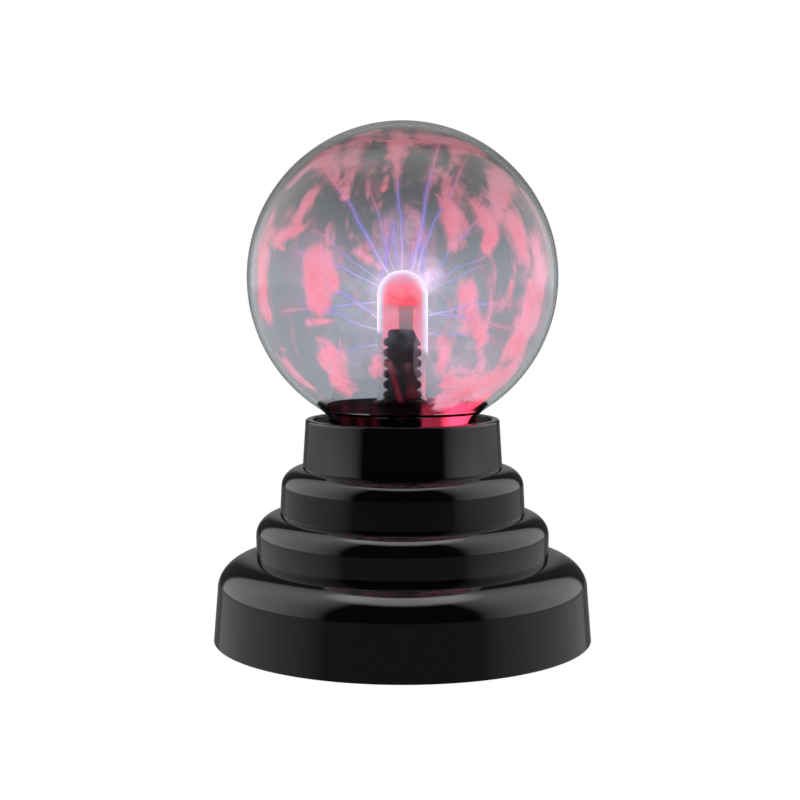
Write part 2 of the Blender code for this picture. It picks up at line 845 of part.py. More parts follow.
def make_screws(steel):
    for index, angle in enumerate(COVER_SCREW_ANGLES, 1):
        place = on_circle(COVER_SCREW_CIRCLE, angle, COVER_BOTTOM_Z + 0.1 * MM)
        make_screw(f"cover_screw_{index}", place, 3.0 * MM, 0.9 * MM, 1.2 * MM, 12 * MM, steel)
    for index, angle in enumerate(HOLDER_SCREW_ANGLES, 1):
        head = 1.2 * MM
        place = on_circle(HOLDER_SCREW_CIRCLE, angle, HOLDER_BOTTOM_Z - GAP - head)
        make_screw(f"holder_screw_{index}", place, 2.2 * MM, head, 1.1 * MM, 5.4 * MM, steel)
    for index, side in enumerate((-1, 1), 1):
        head = 1.1 * MM
        place = Vector((side * BOARD_SCREW_X, BOARD_CENTRE_Y, PART_Z + head))
        screw = make_screw(f"board_screw_{index}", place, 2.1 * MM, head, 1.0 * MM, 4.6 * MM, steel)
        screw.rotation_euler.x = math.pi


# ---------------------------------------------------------------- electronics


def make_board(laminate):
    board = block(
        "circuit_board",
        (-BOARD_X / 2, BOARD_CENTRE_Y - BOARD_Y / 2, BOARD_BOTTOM_Z),
        (BOARD_X / 2, BOARD_CENTRE_Y + BOARD_Y / 2, BOARD_TOP_Z),
        laminate,
    )
    for side in (-1, 1):
        place = Vector((side * BOARD_SCREW_X, BOARD_CENTRE_Y, 0))
        cut(
            board,
            rod(
                f"board_hole_{side}",
                place + Vector((0, 0, BOARD_BOTTOM_Z - 1 * MM)),
                place + Vector((0, 0, BOARD_TOP_Z + 1 * MM)),
                1.4 * MM,
                laminate,
            ),
        )


def make_transformer(ferrite, tape):
    """A step-up transformer: a ferrite frame with a middle leg, and the taped winding on that leg."""
    middle = Vector((-7 * MM, -6 * MM, PART_Z))
    half_x, half_y, height = 10 * MM, 3 * MM, 17 * MM
    yoke, side_leg, centre_leg = 3.2 * MM, 3.4 * MM, 5.0 * MM
    core = block(
        "transformer_core",
        middle + Vector((-half_x, -half_y, 0)),
        middle + Vector((half_x, half_y, height)),
        ferrite,
    )
    for side in (-1, 1):
        inner, outer = side * centre_leg / 2, side * (half_x - side_leg)
        cut(
            core,
            block(
                f"core_window_{side}",
                middle + Vector((min(inner, outer), -half_y - 1 * MM, yoke)),
                middle + Vector((max(inner, outer), half_y + 1 * MM, height - yoke)),
                ferrite,
            ),
        )
    low, high = yoke + GAP, height - yoke - GAP
    reach_x, reach_y = half_x - side_leg - 0.4 * MM, 7 * MM
    winding = block(
        "transformer_winding",
        middle + Vector((-reach_x, -reach_y, low)),
        middle + Vector((reach_x, reach_y, high)),
        tape,
    )
    clear_x, clear_y = centre_leg / 2 + GAP, half_y + GAP
    cut(
        winding,
        block(
            "winding_space",
            middle + Vector((-clear_x, -clear_y, low - 1 * MM)),
            middle + Vector((clear_x, clear_y, high + 1 * MM)),
            tape,
        ),
    )


def make_heat_sink(aluminium, black):
    """A finned plate with the driving transistor in front of it."""
    low, high = Vector((4 * MM, 5.0 * MM, PART_Z)), Vector((20 * MM, 6.6 * MM, PART_Z + 15 * MM))
    sink = block("heat_sink", low, high, aluminium)
    for index in range(4):
        x = low.x + index * (high.x - low.x - 1.2 * MM) / 3
        join(
            sink,
            block(
                f"heat_sink_fin_{index}",
                (x, high.y - 0.3 * MM, low.z + 1 * MM),
                (x + 1.2 * MM, high.y + 4.6 * MM, high.z - 1 * MM),
                aluminium,
            ),
        )
    transistor = block(
        "power_transistor",
        (7 * MM, 1.4 * MM, PART_Z + 3 * MM),
        (17 * MM, 4.7 * MM, PART_Z + 12 * MM),
        black,
    )
    for x in (9.4, 12, 14.6):
        join(
            transistor,
            block(
                f"transistor_leg_{round(x * 10)}",
                ((x - 0.4) * MM, 2.8 * MM, PART_Z),
                ((x + 0.4) * MM, 3.4 * MM, PART_Z + 4 * MM),
                black,
            ),
        )


def make_small_parts(can, film, black, ceramic, copper):
    bottom = PART_Z
    capacitor_height, capacitor_radius, groove = 11.5 * MM, 4.0 * MM, 0.35 * MM
    capacitor = lathe(
        "filter_capacitor",
        [
            (0, 0),
            (capacitor_radius, 0),
            (capacitor_radius, 0.8 * MM),
            (capacitor_radius - groove, 1.3 * MM),
            (capacitor_radius, 1.8 * MM),
            (capacitor_radius, capacitor_height - 0.4 * MM),
            (capacitor_radius - 0.4 * MM, capacitor_height),
            (0, capacitor_height),
        ],
        can,
        16,
    )
    capacitor.location = (12 * MM, -13.4 * MM, bottom)
    block(
        "film_capacitor",
        (-11 * MM, 9.8 * MM, bottom),
        (-1 * MM, 14.3 * MM, bottom + 8 * MM),
        film,
    )
    block(
        "timer_chip",
        (8.3 * MM, -8.4 * MM, bottom + 0.5 * MM),
        (17.7 * MM, -2.2 * MM, bottom + 3.8 * MM),
        black,
    )
    rod(
        "power_resistor",
        (-21.5 * MM, 11 * MM, bottom + 1.7 * MM),
        (-13 * MM, 11 * MM, bottom + 1.7 * MM),
        1.6 * MM,
        ceramic,
    )
    choke_outer, choke_waist = 3.2 * MM, 2.4 * MM
    choke = lathe(
        "choke_coil",
        [
            (0, 0),
            (choke_outer, 0),
            (choke_outer, 1.0 * MM),
            (choke_waist, 1.3 * MM),
            (choke_waist, 5.2 * MM),
            (choke_outer, 5.5 * MM),
            (choke_outer, 6.5 * MM),
            (0, 6.5 * MM),
        ],
        copper,
        SMALL_ROUND,
    )
    choke.location = (0, -17.2 * MM, bottom)


def make_socket(black, steel):
    """The supply socket: a moulded body with a round nose, and its centre pin."""
    low_y, high_y, nose_y = 35.4 * MM, 44.4 * MM, 48.0 * MM
    body = block(
        "supply_socket",
        (-3.8 * MM, low_y, 4.6 * MM),
        (3.8 * MM, high_y, SOCKET_Z + 3.4 * MM),
        black,
    )
    nose = rod(
        "socket_nose",
        (0, high_y - 0.6 * MM, SOCKET_Z),
        (0, nose_y, SOCKET_Z),
        3.2 * MM,
        black,
        16,
    )
    bore_end = low_y + 2.2 * MM
    bore = rod(
        "socket_bore",
        (0, bore_end, SOCKET_Z),
        (0, nose_y + 1 * MM, SOCKET_Z),
        SOCKET_BORE,
        black,
    )
    join(body, nose)
    cut(body, bore)
    pin = rod(
        "supply_socket_pin",
        (0, bore_end + GAP, SOCKET_Z),
        (0, nose_y - 1 * MM, SOCKET_Z),
        0.65 * MM,
        steel,
        8,
    )
    for obj in (body, nose, bore, pin):
        obj.rotation_euler.z = math.radians(SOCKET_ANGLE)


def make_switch(steel, black):
    """A slide switch: a pressed can, and the slider, which rests at the end nearer +X."""
    front, back = 45.4 * MM, 40.4 * MM
    can = block(
        "switch_can",
        (-6.3 * MM, back, SOCKET_Z - 2.8 * MM),
        (6.3 * MM, front, SOCKET_Z + 2.8 * MM),
        steel,
    )
    cut(
        can,
        block(
            "switch_can_slot",
            (-4.3 * MM, front - 2.6 * MM, SOCKET_Z - 2.0 * MM),
            (4.3 * MM, front + 1 * MM, SOCKET_Z + 2.0 * MM),
            steel,
        ),
    )
    half, tip = 1.7 * MM, 48.5 * MM
    rest_x = SWITCH_TRAVEL / 2
    slider = block(
        "switch_slider",
        (-half, front - 2.2 * MM - tip, -1.6 * MM),
        (half, 0, 1.6 * MM),
        black,
    )
    for index in range(3):
        groove_x = (index - 1) * 0.9 * MM
        cut(
            slider,
            block(
                f"slider_groove_{index}",
                (groove_x - 0.2 * MM, -0.35 * MM, -3 * MM),
                (groove_x + 0.2 * MM, 1 * MM, 3 * MM),
                black,
            ),
        )
    travel = bpy.data.objects.new("slider_travel", None)
    bpy.context.scene.collection.objects.link(travel)
    travel.location = (rest_x, tip, SOCKET_Z)
    for obj in bpy.data.objects:
        if obj.name.startswith("slider_groove") or obj.name == "switch_slider":
            obj.parent = travel


def make_wires(red, black, white):
    thin = 0.6 * MM
    wire(
        "high_voltage_lead",
        [
            Vector((-7, 0.2, 34.0)) * MM,
            Vector((-6.2, 1.6, 35.6)) * MM,
            Vector((-3.0, 2.0, 36.0)) * MM,
            Vector((0.6, 0.8, 35.6)) * MM,
            Vector((0.9, 0, 36.9)) * MM,
        ],
        0.9 * MM,
        white,
    )
    for name, side, colour in (("battery_lead_red", -1, red), ("battery_lead_black", 1, black)):
        wire(
            name,
            [
                Vector((-25.5, side * 16.65, 17.5)) * MM,
                Vector((-26.8, side * 15.8, 19.2)) * MM,
                Vector((-26.2, side * 14.6, 21.3)) * MM,
                Vector((-22.6, side * 14.6, 20.6)) * MM,
            ],
            thin,
            colour,
        )
    for name, across, colour in (("socket_lead_red", 1.8, red), ("socket_lead_black", -1.8, black)):
        lead = [
            (across, 34.9, 9.0),
            (across, 32.8, 11.5),
            (across * 0.9, 31.0, 17.5),
            (across * 0.9, 25.5, 22.4),
            (across * 0.9, 20.4, 20.7),
        ]
        turn = Matrix.Rotation(math.radians(SOCKET_ANGLE), 3, "Z")
        wire(name, [turn @ Vector(p) * MM for p in lead], thin, colour)
    for name, across, colour in (("switch_lead_1", -2.5, red), ("switch_lead_2", 2.5, black)):
        wire(
            name,
            [
                Vector((across, 39.9, 8.0)) * MM,
                Vector((across, 36.0, 10.5)) * MM,
                Vector((across, 29.0, 17.0)) * MM,
                Vector((across, 22.5, 21.6)) * MM,
                Vector((across, 17.4, 20.7)) * MM,
            ],
            thin,
            colour,
        )


def main():
    clear_scene()
    glass = make_material("clear_glass", (0.92, 0.95, 0.93), 0.02, transmission=1.0)
    gloss = make_material("gloss_black", (0.008, 0.008, 0.009), 0.08)
    matte = make_material("matte_black", (0.02, 0.02, 0.021), 0.5)
    rubber = make_material("dark_rubber", (0.03, 0.03, 0.03), 0.85)
    foam = make_material("black_foam", (0.012, 0.012, 0.012), 0.95)
    steel = make_material("plated_steel", (0.62, 0.62, 0.64), 0.25, metallic=1.0)
    cap_metal = make_material("cap_metal", (0.75, 0.32, 0.26), 0.3, metallic=1.0)
    wrap = make_material("cell_wrap", (0.09, 0.12, 0.16), 0.3)
    laminate = make_material("board_laminate", (0.05, 0.2, 0.09), 0.4)
    ferrite = make_material("ferrite", (0.045, 0.045, 0.05), 0.55)
    tape = make_material("winding_tape", (0.75, 0.58, 0.08), 0.45)
    aluminium = make_material("aluminium", (0.7, 0.71, 0.72), 0.35, metallic=1.0)
    can = make_material("capacitor_sleeve", (0.03, 0.05, 0.16), 0.35)
    film = make_material("film_box", (0.55, 0.16, 0.05), 0.4)
    ceramic = make_material("resistor_body", (0.62, 0.5, 0.36), 0.6)
    copper = make_material("copper_wire", (0.72, 0.32, 0.16), 0.3, metallic=1.0)
    red = make_material("red_insulation", (0.5, 0.02, 0.02), 0.4)
    black = make_material("black_insulation", (0.02, 0.02, 0.02), 0.4)
    white = make_material("white_silicone", (0.8, 0.8, 0.78), 0.45)

    make_globe(glass)
    make_electrode_tube(glass)
    make_neck_plug(foam)
    make_electrode_holder(gloss)
    make_electrode_metal(steel, cap_metal)
    make_neck_rings(gloss, rubber)
    make_housing(gloss)
    make_bottom_cover(matte)
    make_door(matte)
    make_cells(wrap)
    make_contacts(steel)
    make_feet(rubber)
    make_screws(steel)
    make_board(laminate)
    make_transformer(ferrite, tape)
    make_heat_sink(aluminium, matte)
    make_small_parts(can, film, matte, ceramic, copper)
    make_socket(matte, steel)
    make_switch(steel, matte)
    make_wires(red, black, white)
    bpy.context.view_layer.update()


main()
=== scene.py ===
import math

import bmesh
import bpy
import numpy as np

from mathutils import Matrix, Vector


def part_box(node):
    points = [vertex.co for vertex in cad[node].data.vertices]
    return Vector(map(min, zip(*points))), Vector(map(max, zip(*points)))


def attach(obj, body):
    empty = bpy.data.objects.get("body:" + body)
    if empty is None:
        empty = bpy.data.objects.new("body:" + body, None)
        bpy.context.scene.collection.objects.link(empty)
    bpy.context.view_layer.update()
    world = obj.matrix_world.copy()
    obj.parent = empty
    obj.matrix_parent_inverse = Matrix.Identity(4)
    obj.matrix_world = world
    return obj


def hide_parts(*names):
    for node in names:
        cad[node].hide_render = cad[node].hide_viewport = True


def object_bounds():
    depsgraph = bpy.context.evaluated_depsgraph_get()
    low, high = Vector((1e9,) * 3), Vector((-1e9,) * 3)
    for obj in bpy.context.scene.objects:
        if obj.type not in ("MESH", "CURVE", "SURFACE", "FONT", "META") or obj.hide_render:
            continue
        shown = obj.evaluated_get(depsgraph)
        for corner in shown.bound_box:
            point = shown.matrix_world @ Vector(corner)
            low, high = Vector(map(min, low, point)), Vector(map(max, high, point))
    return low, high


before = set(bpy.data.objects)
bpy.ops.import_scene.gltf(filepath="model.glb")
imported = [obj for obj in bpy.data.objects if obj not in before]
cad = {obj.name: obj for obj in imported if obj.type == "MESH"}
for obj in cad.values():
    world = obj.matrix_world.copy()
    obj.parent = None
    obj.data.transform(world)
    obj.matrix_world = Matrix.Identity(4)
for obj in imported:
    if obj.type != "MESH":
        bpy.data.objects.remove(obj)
cad_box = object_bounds()
MM = 0.001

# ---------------------------------------------------------------- camera
# The camera looks at the lamp from the front, a little above the globe's
# foot and tilted slightly down. Whites are kept white, so no film curve.

camera_data = bpy.data.cameras.new("camera")
camera_data.sensor_width = 36.0
camera_data.lens = 67.2
camera = bpy.data.objects.new("camera", camera_data)
looks_down = 0.0795
camera.location = (-0.65 * MM, -386.6 * MM, 93.5 * MM)
camera.rotation_euler = (math.pi / 2 - looks_down, 0, 0)
bpy.context.scene.collection.objects.link(camera)
bpy.context.scene.camera = camera
bpy.context.scene.view_settings.view_transform = "Standard"
bpy.context.scene.cycles.max_bounces = 24
bpy.context.scene.cycles.transmission_bounces = 20
bpy.context.scene.cycles.transparent_max_bounces = 64

# ---------------------------------------------------------------- feet
# Four moulded rubber discs, glued into pockets under the bottom cover. They
# lift the base's edge just clear of the table. Their rims are rounded.


def sheets_of_points(name, sheets, material, loop_rows, loop_columns, sharp=35, values=None):
    """Skins of four-sided faces over grids of points, in one mesh. Looped rows or columns join
    up with themselves, and points that fall together, as at a pole, become one."""
    faces, count = [], 0
    for points in sheets:
        rows, columns = points.shape[:2]
        index = np.arange(rows * columns).reshape(rows, columns) + count
        count += rows * columns
        if loop_rows:
            index = np.vstack([index, index[:1]])
        if loop_columns:
            index = np.hstack([index, index[:, :1]])
        corners = [index[:-1, :-1], index[:-1, 1:], index[1:, 1:], index[1:, :-1]]
        faces.append(np.stack(corners, axis=-1).reshape(-1, 4))
    mesh = bpy.data.meshes.new(name)
    flat = np.concatenate([points.reshape(-1, 3) for points in sheets])
    mesh.from_pydata(flat.tolist(), [], np.concatenate(faces).tolist())
    for label, parts in (values or {}).items():
        layer = mesh.attributes.new(label, "FLOAT", "POINT")
        layer.data.foreach_set("value", np.concatenate([np.ravel(part) for part in parts]))
    skin = bmesh.new()
    skin.from_mesh(mesh)
    bmesh.ops.remove_doubles(skin, verts=skin.verts, dist=1e-7)
    bmesh.ops.dissolve_degenerate(skin, edges=skin.edges, dist=1e-8)
    bmesh.ops.recalc_face_normals(skin, faces=skin.faces)
    skin.to_mesh(mesh)
    skin.free()
    mesh.shade_smooth()
    mesh.set_sharp_from_angle(angle=math.radians(sharp))
    mesh.materials.append(material)
    piece = bpy.data.objects.new(name, mesh)
    bpy.context.scene.collection.objects.link(piece)
    return piece


def sheet_of_points(name, points, material, loop_rows, loop_columns, sharp=35, values=None):
    """One such skin."""
    values = {label: [value] for label, value in (values or {}).items()}
    return sheets_of_points(name, [points], material, loop_rows, loop_columns, sharp, values)


def around(outline, sides, centre=(0, 0)):
    """Points of an outline of (radius, height) in millimetres, turned once round an upright line:
    x = radius * cos(angle) + centre x, y = radius * sin(angle) + centre y, z = height."""
    outline = np.array(outline) * MM
    angle = np.linspace(0, 2 * np.pi, sides, endpoint=False)
    radius = outline[:, 0][:, None]
    across = radius * np.cos(angle) + centre[0] * MM
    along = radius * np.sin(angle) + centre[1] * MM
    return np.stack([across, along, np.repeat(outline[:, 1][:, None], sides, axis=1)], axis=-1)


def turned(name, outline, material, sides, centre=(0, 0)):
    """A piece turned from a closed outline of (radius, height) in millimetres."""
    return sheet_of_points(name, around(outline, sides, centre), material, True, True)


def bend(centre, radii, start, end, steps=8):
    """Points of a quarter or other part of an ellipse in (radius, height), angles in degrees."""
    angle = np.radians(np.linspace(start, end, steps + 1))
    across = centre[0] + radii[0] * np.cos(angle)
    return list(zip(across.tolist(), (centre[1] + radii[1] * np.sin(angle)).tolist()))


def middle_of(node):
    """The middle of a piece's box and its lowest and highest level, in millimetres."""
    low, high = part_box(node)
    return (low + high) / 2 / MM, low.z / MM, high.z / MM


def finish(name):
    """A new material and its shader."""
    material = bpy.data.materials.new(name)
    material.use_nodes = True
    return material, material.node_tree.nodes["Principled BSDF"]


def fill(node, inputs):
    """Sets a node's inputs; each is a number, a colour or another node's output."""
    for label, value in inputs.items():
        if isinstance(value, bpy.types.NodeSocket):
            node.id_data.links.new(value, node.inputs[label])
        else:
            node.inputs[label].default_value = value


def add(owner, kind, inputs=None, **settings):
    """A shader node of a material or of the world, with its settings and its inputs."""
    node = owner.node_tree.nodes.new("ShaderNode" + kind)
    for label, value in settings.items():
        setattr(node, label, value)
    fill(node, inputs or {})
    return node


def place_on(material):
    """Where a point lies on the lamp."""
    return add(material, "TexCoord").outputs["Object"]


def level_on(material, axis="Z"):
    """How far along one axis a point lies on the lamp: its height, if not said otherwise."""
    return add(material, "SeparateXYZ", {"Vector": place_on(material)}).outputs[axis]


def carried(material, label):
    """A value that the mesh carries at its points."""
    return add(material, "Attribute", attribute_name=label).outputs["Fac"]


def maths(owner, operation, *values, clamp=False):
    """One step of arithmetic."""
    inputs = dict(enumerate(values))
    return add(owner, "Math", inputs, operation=operation, use_clamp=clamp).outputs[0]


def ranged(owner, value, start, end, low=0.0, high=1.0, soft=False):
    """A value that is low up to start and high from end on, with a slope between."""
    inputs = {"Value": value, "From Min": start, "From Max": end, "To Min": low, "To Max": high}
    way = "SMOOTHSTEP" if soft else "LINEAR"
    return add(owner, "MapRange", inputs, interpolation_type=way).outputs["Result"]


def noise(material, scale, detail=2.0, roughness=0.5, distortion=0.0, stretch=None):
    """A cloudy value between 0 and 1. Its scale is in clouds to the metre."""
    place = place_on(material)
    if stretch:
        place = add(material, "Mapping", {"Vector": place, "Scale": stretch}).outputs["Vector"]
    inputs = {"Vector": place, "Scale": scale, "Detail": detail}
    inputs.update({"Roughness": roughness, "Distortion": distortion})
    return add(material, "TexNoise", inputs).outputs["Fac"]


def bumped(material, height, depth, strength=1.0):
    """The surface's lean where a height between 0 and 1 stands for a depth in millimetres."""
    inputs = {"Height": height, "Distance": depth * MM, "Strength": strength}
    return add(material, "Bump", inputs).outputs["Normal"]


def mixed(material, share, first, second, way="MIX"):
    """Two colours, mixed by a share between 0 and 1."""
    inputs = {"Factor": share, 6: first, 7: second}
    return add(material, "Mix", inputs, data_type="RGBA", blend_type=way).outputs[2]


def ramp(owner, value, *stops, steps="LINEAR"):
    """A colour for each value. A stop is a value between 0 and 1 and its colour."""
    node = add(owner, "ValToRGB", {"Fac": value})
    node.color_ramp.interpolation = steps
    first, *between, last = stops
    for index, (at, colour) in enumerate((first, last)):
        node.color_ramp.elements[index].position = at
        node.color_ramp.elements[index].color = (*colour, 1)
    for at, colour in between:
        node.color_ramp.elements.new(at).color = (*colour, 1)
    return node.outputs["Color"]


def moulded(name, dark, light, roughness, grain, depth, metallic=0.0):
    """Moulded or formed stock: a fine grain in millimetres that is felt as a bump, and a slow
    drift of colour and gloss over the piece."""
    material, shader = finish(name)
    drift = noise(material, 55.0, 3.0)
    fine = noise(material, 1 / (grain * MM))
    smoothest, roughest = max(roughness - 0.08, 0.02), roughness + 0.08
    fill(shader, {
        "Base Color": mixed(material, drift, (*dark, 1), (*light, 1)),
        "Roughness": ranged(material, drift, 0, 1, smoothest, roughest),
        "Normal": bumped(material, fine, depth, 0.6),
        "Metallic": metallic,
    })
    return material


foot_rubber = moulded("foot_rubber", (0.02, 0.02, 0.02), (0.04, 0.04, 0.04), 0.85, 0.25, 0.03)
for foot in ("foot_front_left", "foot_front_right", "foot_back_left", "foot_back_right"):
    middle, _, _ = middle_of(foot)
    outline = [(0, 0), (2.9, 0), *bend((2.9, 0.6), (0.7, 0.6), -90, 0), (3.6, 1.6), (0, 1.6)]
    disc = turned(foot + "_disc", outline, foot_rubber, 64, (middle.x, middle.y))
    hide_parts(foot)
    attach(disc, "base")

# ---------------------------------------------------------------- bottom cover
# One black moulding with a spark-eroded texture, which holds the battery bay
# above it. Three screws in sunk holes fix it to the housing's bosses.

cover_plastic = moulded(
    "cover_plastic", (0.014, 0.014, 0.015), (0.024, 0.024, 0.025), 0.5, 0.35, 0.03
)
screw_steel = moulded(
    "screw_steel", (0.5, 0.5, 0.52), (0.66, 0.66, 0.67), 0.28, 0.8, 0.006, metallic=1.0
)
cad["bottom_cover"].data.materials[0] = cover_plastic

for number in (1, 2, 3):
    middle, bottom, _ = middle_of(f"cover_screw_{number}")
    outline = [
        (0, bottom + 0.55),
        (0.9, bottom + 0.45),
        (1.05, bottom),
        *bend((2.2, bottom + 0.5), (0.8, 0.5), -90, 0),
        (3.0, bottom + 0.9),
        (1.2, bottom + 0.9),
        (1.2, bottom + 11.2),
        (0.3, bottom + 12.0),
        (0, bottom + 12.0),
    ]
    screw = turned(f"cover_screw_{number}_turned", outline, screw_steel, 48, (middle.x, middle.y))
    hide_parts(f"cover_screw_{number}")
    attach(screw, "base")

# ---------------------------------------------------------------- battery door
# A thin moulding in the same plastic. Its latch tongue is cut free on both
# sides, and low ribs beside it give a fingertip something to pull on.

cad["battery_door"].data.materials[0] = cover_plastic
door_low, door_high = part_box("battery_door")
half_width, length, rib_pitch, rib_height = 3.6, 4.4, 1.1, 0.32
grip_x, grip_y = np.meshgrid(
    np.linspace(-half_width, half_width, 25), np.linspace(0, length, 61), indexing="ij"
)
ridge = rib_height * np.maximum(np.cos(2 * np.pi * grip_y / rib_pitch), 0) ** 0.7
fade = np.clip((half_width - np.abs(grip_x)) / 0.5, 0, 1)
underside = door_low.z + (0.1 - (0.1 + ridge) * fade) * MM
top = np.stack([grip_x * MM, door_high.y - (2.0 + grip_y) * MM, underside], axis=-1)
flat = top.copy()
flat[..., 2] = door_low.z + 0.15 * MM
grip = sheet_of_points(
    "door_grip_ribs", np.concatenate([top, flat[::-1]]), cover_plastic, True, False
)
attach(grip, "door")

# ---------------------------------------------------------------- cells and contacts
# Four cells in printed sleeves lie side by side, each turned from its
# neighbour. Pressed nickel-plated plates and coil springs join them.

sleeve, shader = finish("cell_sleeve")
brass, dark_blue = (0.55, 0.36, 0.12), (0.03, 0.035, 0.05)
along = ranged(sleeve, level_on(sleeve, "X"), -24 * MM, 24 * MM)
fill(shader, {
    "Base Color": ramp(sleeve, along, (0, brass), (0.27, dark_blue), (0.73, brass), steps="CONSTANT"),
    "Normal": bumped(sleeve, noise(sleeve, 900.0), 0.01),
    "Roughness": 0.28,
    "Metallic": 0.4,
})
nickel = moulded("nickel_plate", (0.6, 0.58, 0.54), (0.74, 0.72, 0.68), 0.24, 1.5, 0.004, metallic=1.0)
for number in (1, 2, 3, 4):
    cad[f"battery_cell_{number}"].data.materials[0] = sleeve
    cad[f"battery_spring_{number}"].data.materials[0] = nickel
for name in (
    "link_plate_left",
    "link_plate_right_1",
    "link_plate_right_2",
    "terminal_plate_positive",
    "terminal_plate_negative",
    "supply_socket_pin",
    "holder_screw_1",
    "holder_screw_2",
    "holder_screw_3",
    "board_screw_1",
    "board_screw_2",
):
    cad[name].data.materials[0] = nickel

# ---------------------------------------------------------------- circuit
# A green glass-epoxy board carries the driver: a ferrite transformer, its
# transistor on a heat sink, and the parts round them.

mask, shader = finish("solder_mask")
tracks = add(mask, "TexBrick", {
    "Vector": place_on(mask),
    "Scale": 260.0,
    "Mortar Size": 0.06,
    "Color1": (0.02, 0.11, 0.045, 1),
    "Color2": (0.025, 0.13, 0.05, 1),
    "Mortar": (0.05, 0.24, 0.09, 1),
})
fill(shader, {
    "Base Color": tracks.outputs["Color"],
    "Normal": bumped(mask, noise(mask, 2500.0, 1.0), 0.01),
    "Roughness": 0.32,
})
cad["circuit_board"].data.materials[0] = mask

# each: dark and light colour, roughness, grain and its depth in millimetres, and how metallic
stock = {
    "transformer_core": ((0.02, 0.02, 0.022), (0.05, 0.05, 0.055), 0.6, 0.3, 0.03, 0.0),
    "transformer_winding": ((0.6, 0.43, 0.04), (0.75, 0.56, 0.08), 0.35, 1.2, 0.05, 0.0),
    "heat_sink": ((0.6, 0.61, 0.62), (0.72, 0.73, 0.74), 0.38, 0.4, 0.01, 1.0),
    "power_transistor": ((0.012, 0.012, 0.013), (0.02, 0.02, 0.021), 0.55, 0.2, 0.02, 0.0),
    "filter_capacitor": ((0.012, 0.02, 0.09), (0.02, 0.03, 0.13), 0.3, 2.0, 0.01, 0.0),
    "film_capacitor": ((0.4, 0.09, 0.02), (0.5, 0.13, 0.03), 0.35, 1.0, 0.01, 0.0),
    "timer_chip": ((0.012, 0.012, 0.013), (0.02, 0.02, 0.021), 0.5, 0.2, 0.02, 0.0),
    "power_resistor": ((0.5, 0.36, 0.22), (0.62, 0.48, 0.32), 0.45, 0.6, 0.02, 0.0),
    "choke_coil": ((0.55, 0.22, 0.08), (0.72, 0.32, 0.14), 0.3, 0.3, 0.08, 1.0),
    "high_voltage_lead": ((0.7, 0.7, 0.68), (0.8, 0.8, 0.78), 0.45, 1.0, 0.01, 0.0),
    "battery_lead_red": ((0.36, 0.01, 0.01), (0.5, 0.02, 0.02), 0.4, 1.0, 0.01, 0.0),
    "battery_lead_black": ((0.012, 0.012, 0.012), (0.02, 0.02, 0.02), 0.4, 1.0, 0.01, 0.0),
    "neck_gasket": ((0.02, 0.02, 0.02), (0.035, 0.035, 0.035), 0.85, 0.3, 0.03, 0.0),
}
for name, (dark, light, roughness, grain, depth, metallic) in stock.items():
    cad[name].data.materials[0] = moulded(
        name + "_stock", dark, light, roughness, grain, depth, metallic=metallic
    )
for name, like in (
    ("socket_lead_red", "battery_lead_red"),
    ("socket_lead_black", "battery_lead_black"),
    ("switch_lead_1", "battery_lead_red"),
    ("switch_lead_2", "battery_lead_black"),
):
    cad[name].data.materials[0] = cad[like].data.materials[0]


# ---------------------------------------------------------------- switch and supply socket
# A slide switch in a pressed can shows through a recess at the back, and a
# round low-voltage socket beside it takes the plug of a supply lead.

cad["switch_can"].data.materials[0] = nickel
cad["switch_slider"].data.materials[0] = moulded(
    "slider_plastic", (0.02, 0.02, 0.021), (0.03, 0.03, 0.031), 0.42, 0.25, 0.02
)
cad["supply_socket"].data.materials[0] = moulded(
    "socket_plastic", (0.014, 0.014, 0.015), (0.022, 0.022, 0.023), 0.4, 0.3, 0.02
)

# ---------------------------------------------------------------- electrode holder
# One gloss black moulding: a flange that three screws hold up, the cup that
# takes the neck, and a post with rows of teeth that stands up in the tube.

holder_plastic, shader = finish("holder_plastic")
fill(shader, {
    "Base Color": (0.006, 0.006, 0.008, 1),
    "Normal": bumped(holder_plastic, noise(holder_plastic, 400.0, 3.0), 0.02),
    "Roughness": 0.22,
})

outline = [
    (0, 39.0), (4.5, 39.0), (4.5, 42.6), (18.5, 42.6), (18.5, 39.0), (28.6, 39.0),
    (28.6, 41.0), (21.0, 41.0), (21.0, 50.0), (19.6, 50.0), (19.6, 44.6), (3.9, 44.6),
    (3.9, 58.0), (0, 58.0),
]
cup = turned("holder_cup", outline, holder_plastic, 96)

post_r, post_foot, post_top, post_sides = 3.9, 57.9, 80.2, 144
tooth_r, tooth_pitch, top_tooth = 1.12, 2.75, 77.8
angle = np.linspace(0, 2 * np.pi, post_sides, endpoint=False)
tall, bearing = np.meshgrid(np.linspace(post_foot, post_top, 360), angle, indexing="ij")
# from_tooth is a point's height above the middle of the nearest tooth, which is a half disc
from_tooth = (tall - top_tooth + 0.5 * tooth_pitch) % tooth_pitch - 0.5 * tooth_pitch
tooth = np.sqrt(np.maximum(tooth_r**2 - from_tooth**2, 0))
tooth = np.where((tall > 60.2) & (tall < 79.2), tooth, 0)
at_side = np.clip((np.abs(np.cos(bearing)) - 0.86) / 0.1, 0, 1)
at_side = at_side * at_side * (3 - 2 * at_side)
crown = np.linspace(0, 1, 14)[1:, None]
crown_rise = 0.9 * np.sqrt(np.clip(1 - (1 - np.minimum(crown * 3, 1)) ** 2, 0, 1))
every = np.ones((1, post_sides))
radius = np.vstack([0 * every, post_r + tooth * at_side, (post_r - post_r * crown) * every])
tall = np.vstack([post_foot * every, tall, (post_top + crown_rise) * every])
slant = 5.4 - (tall - 75.6) * math.tan(math.radians(26))
across = np.minimum(radius * np.cos(angle), slant)
post_points = np.stack([across, radius * np.sin(angle), tall], axis=-1) * MM

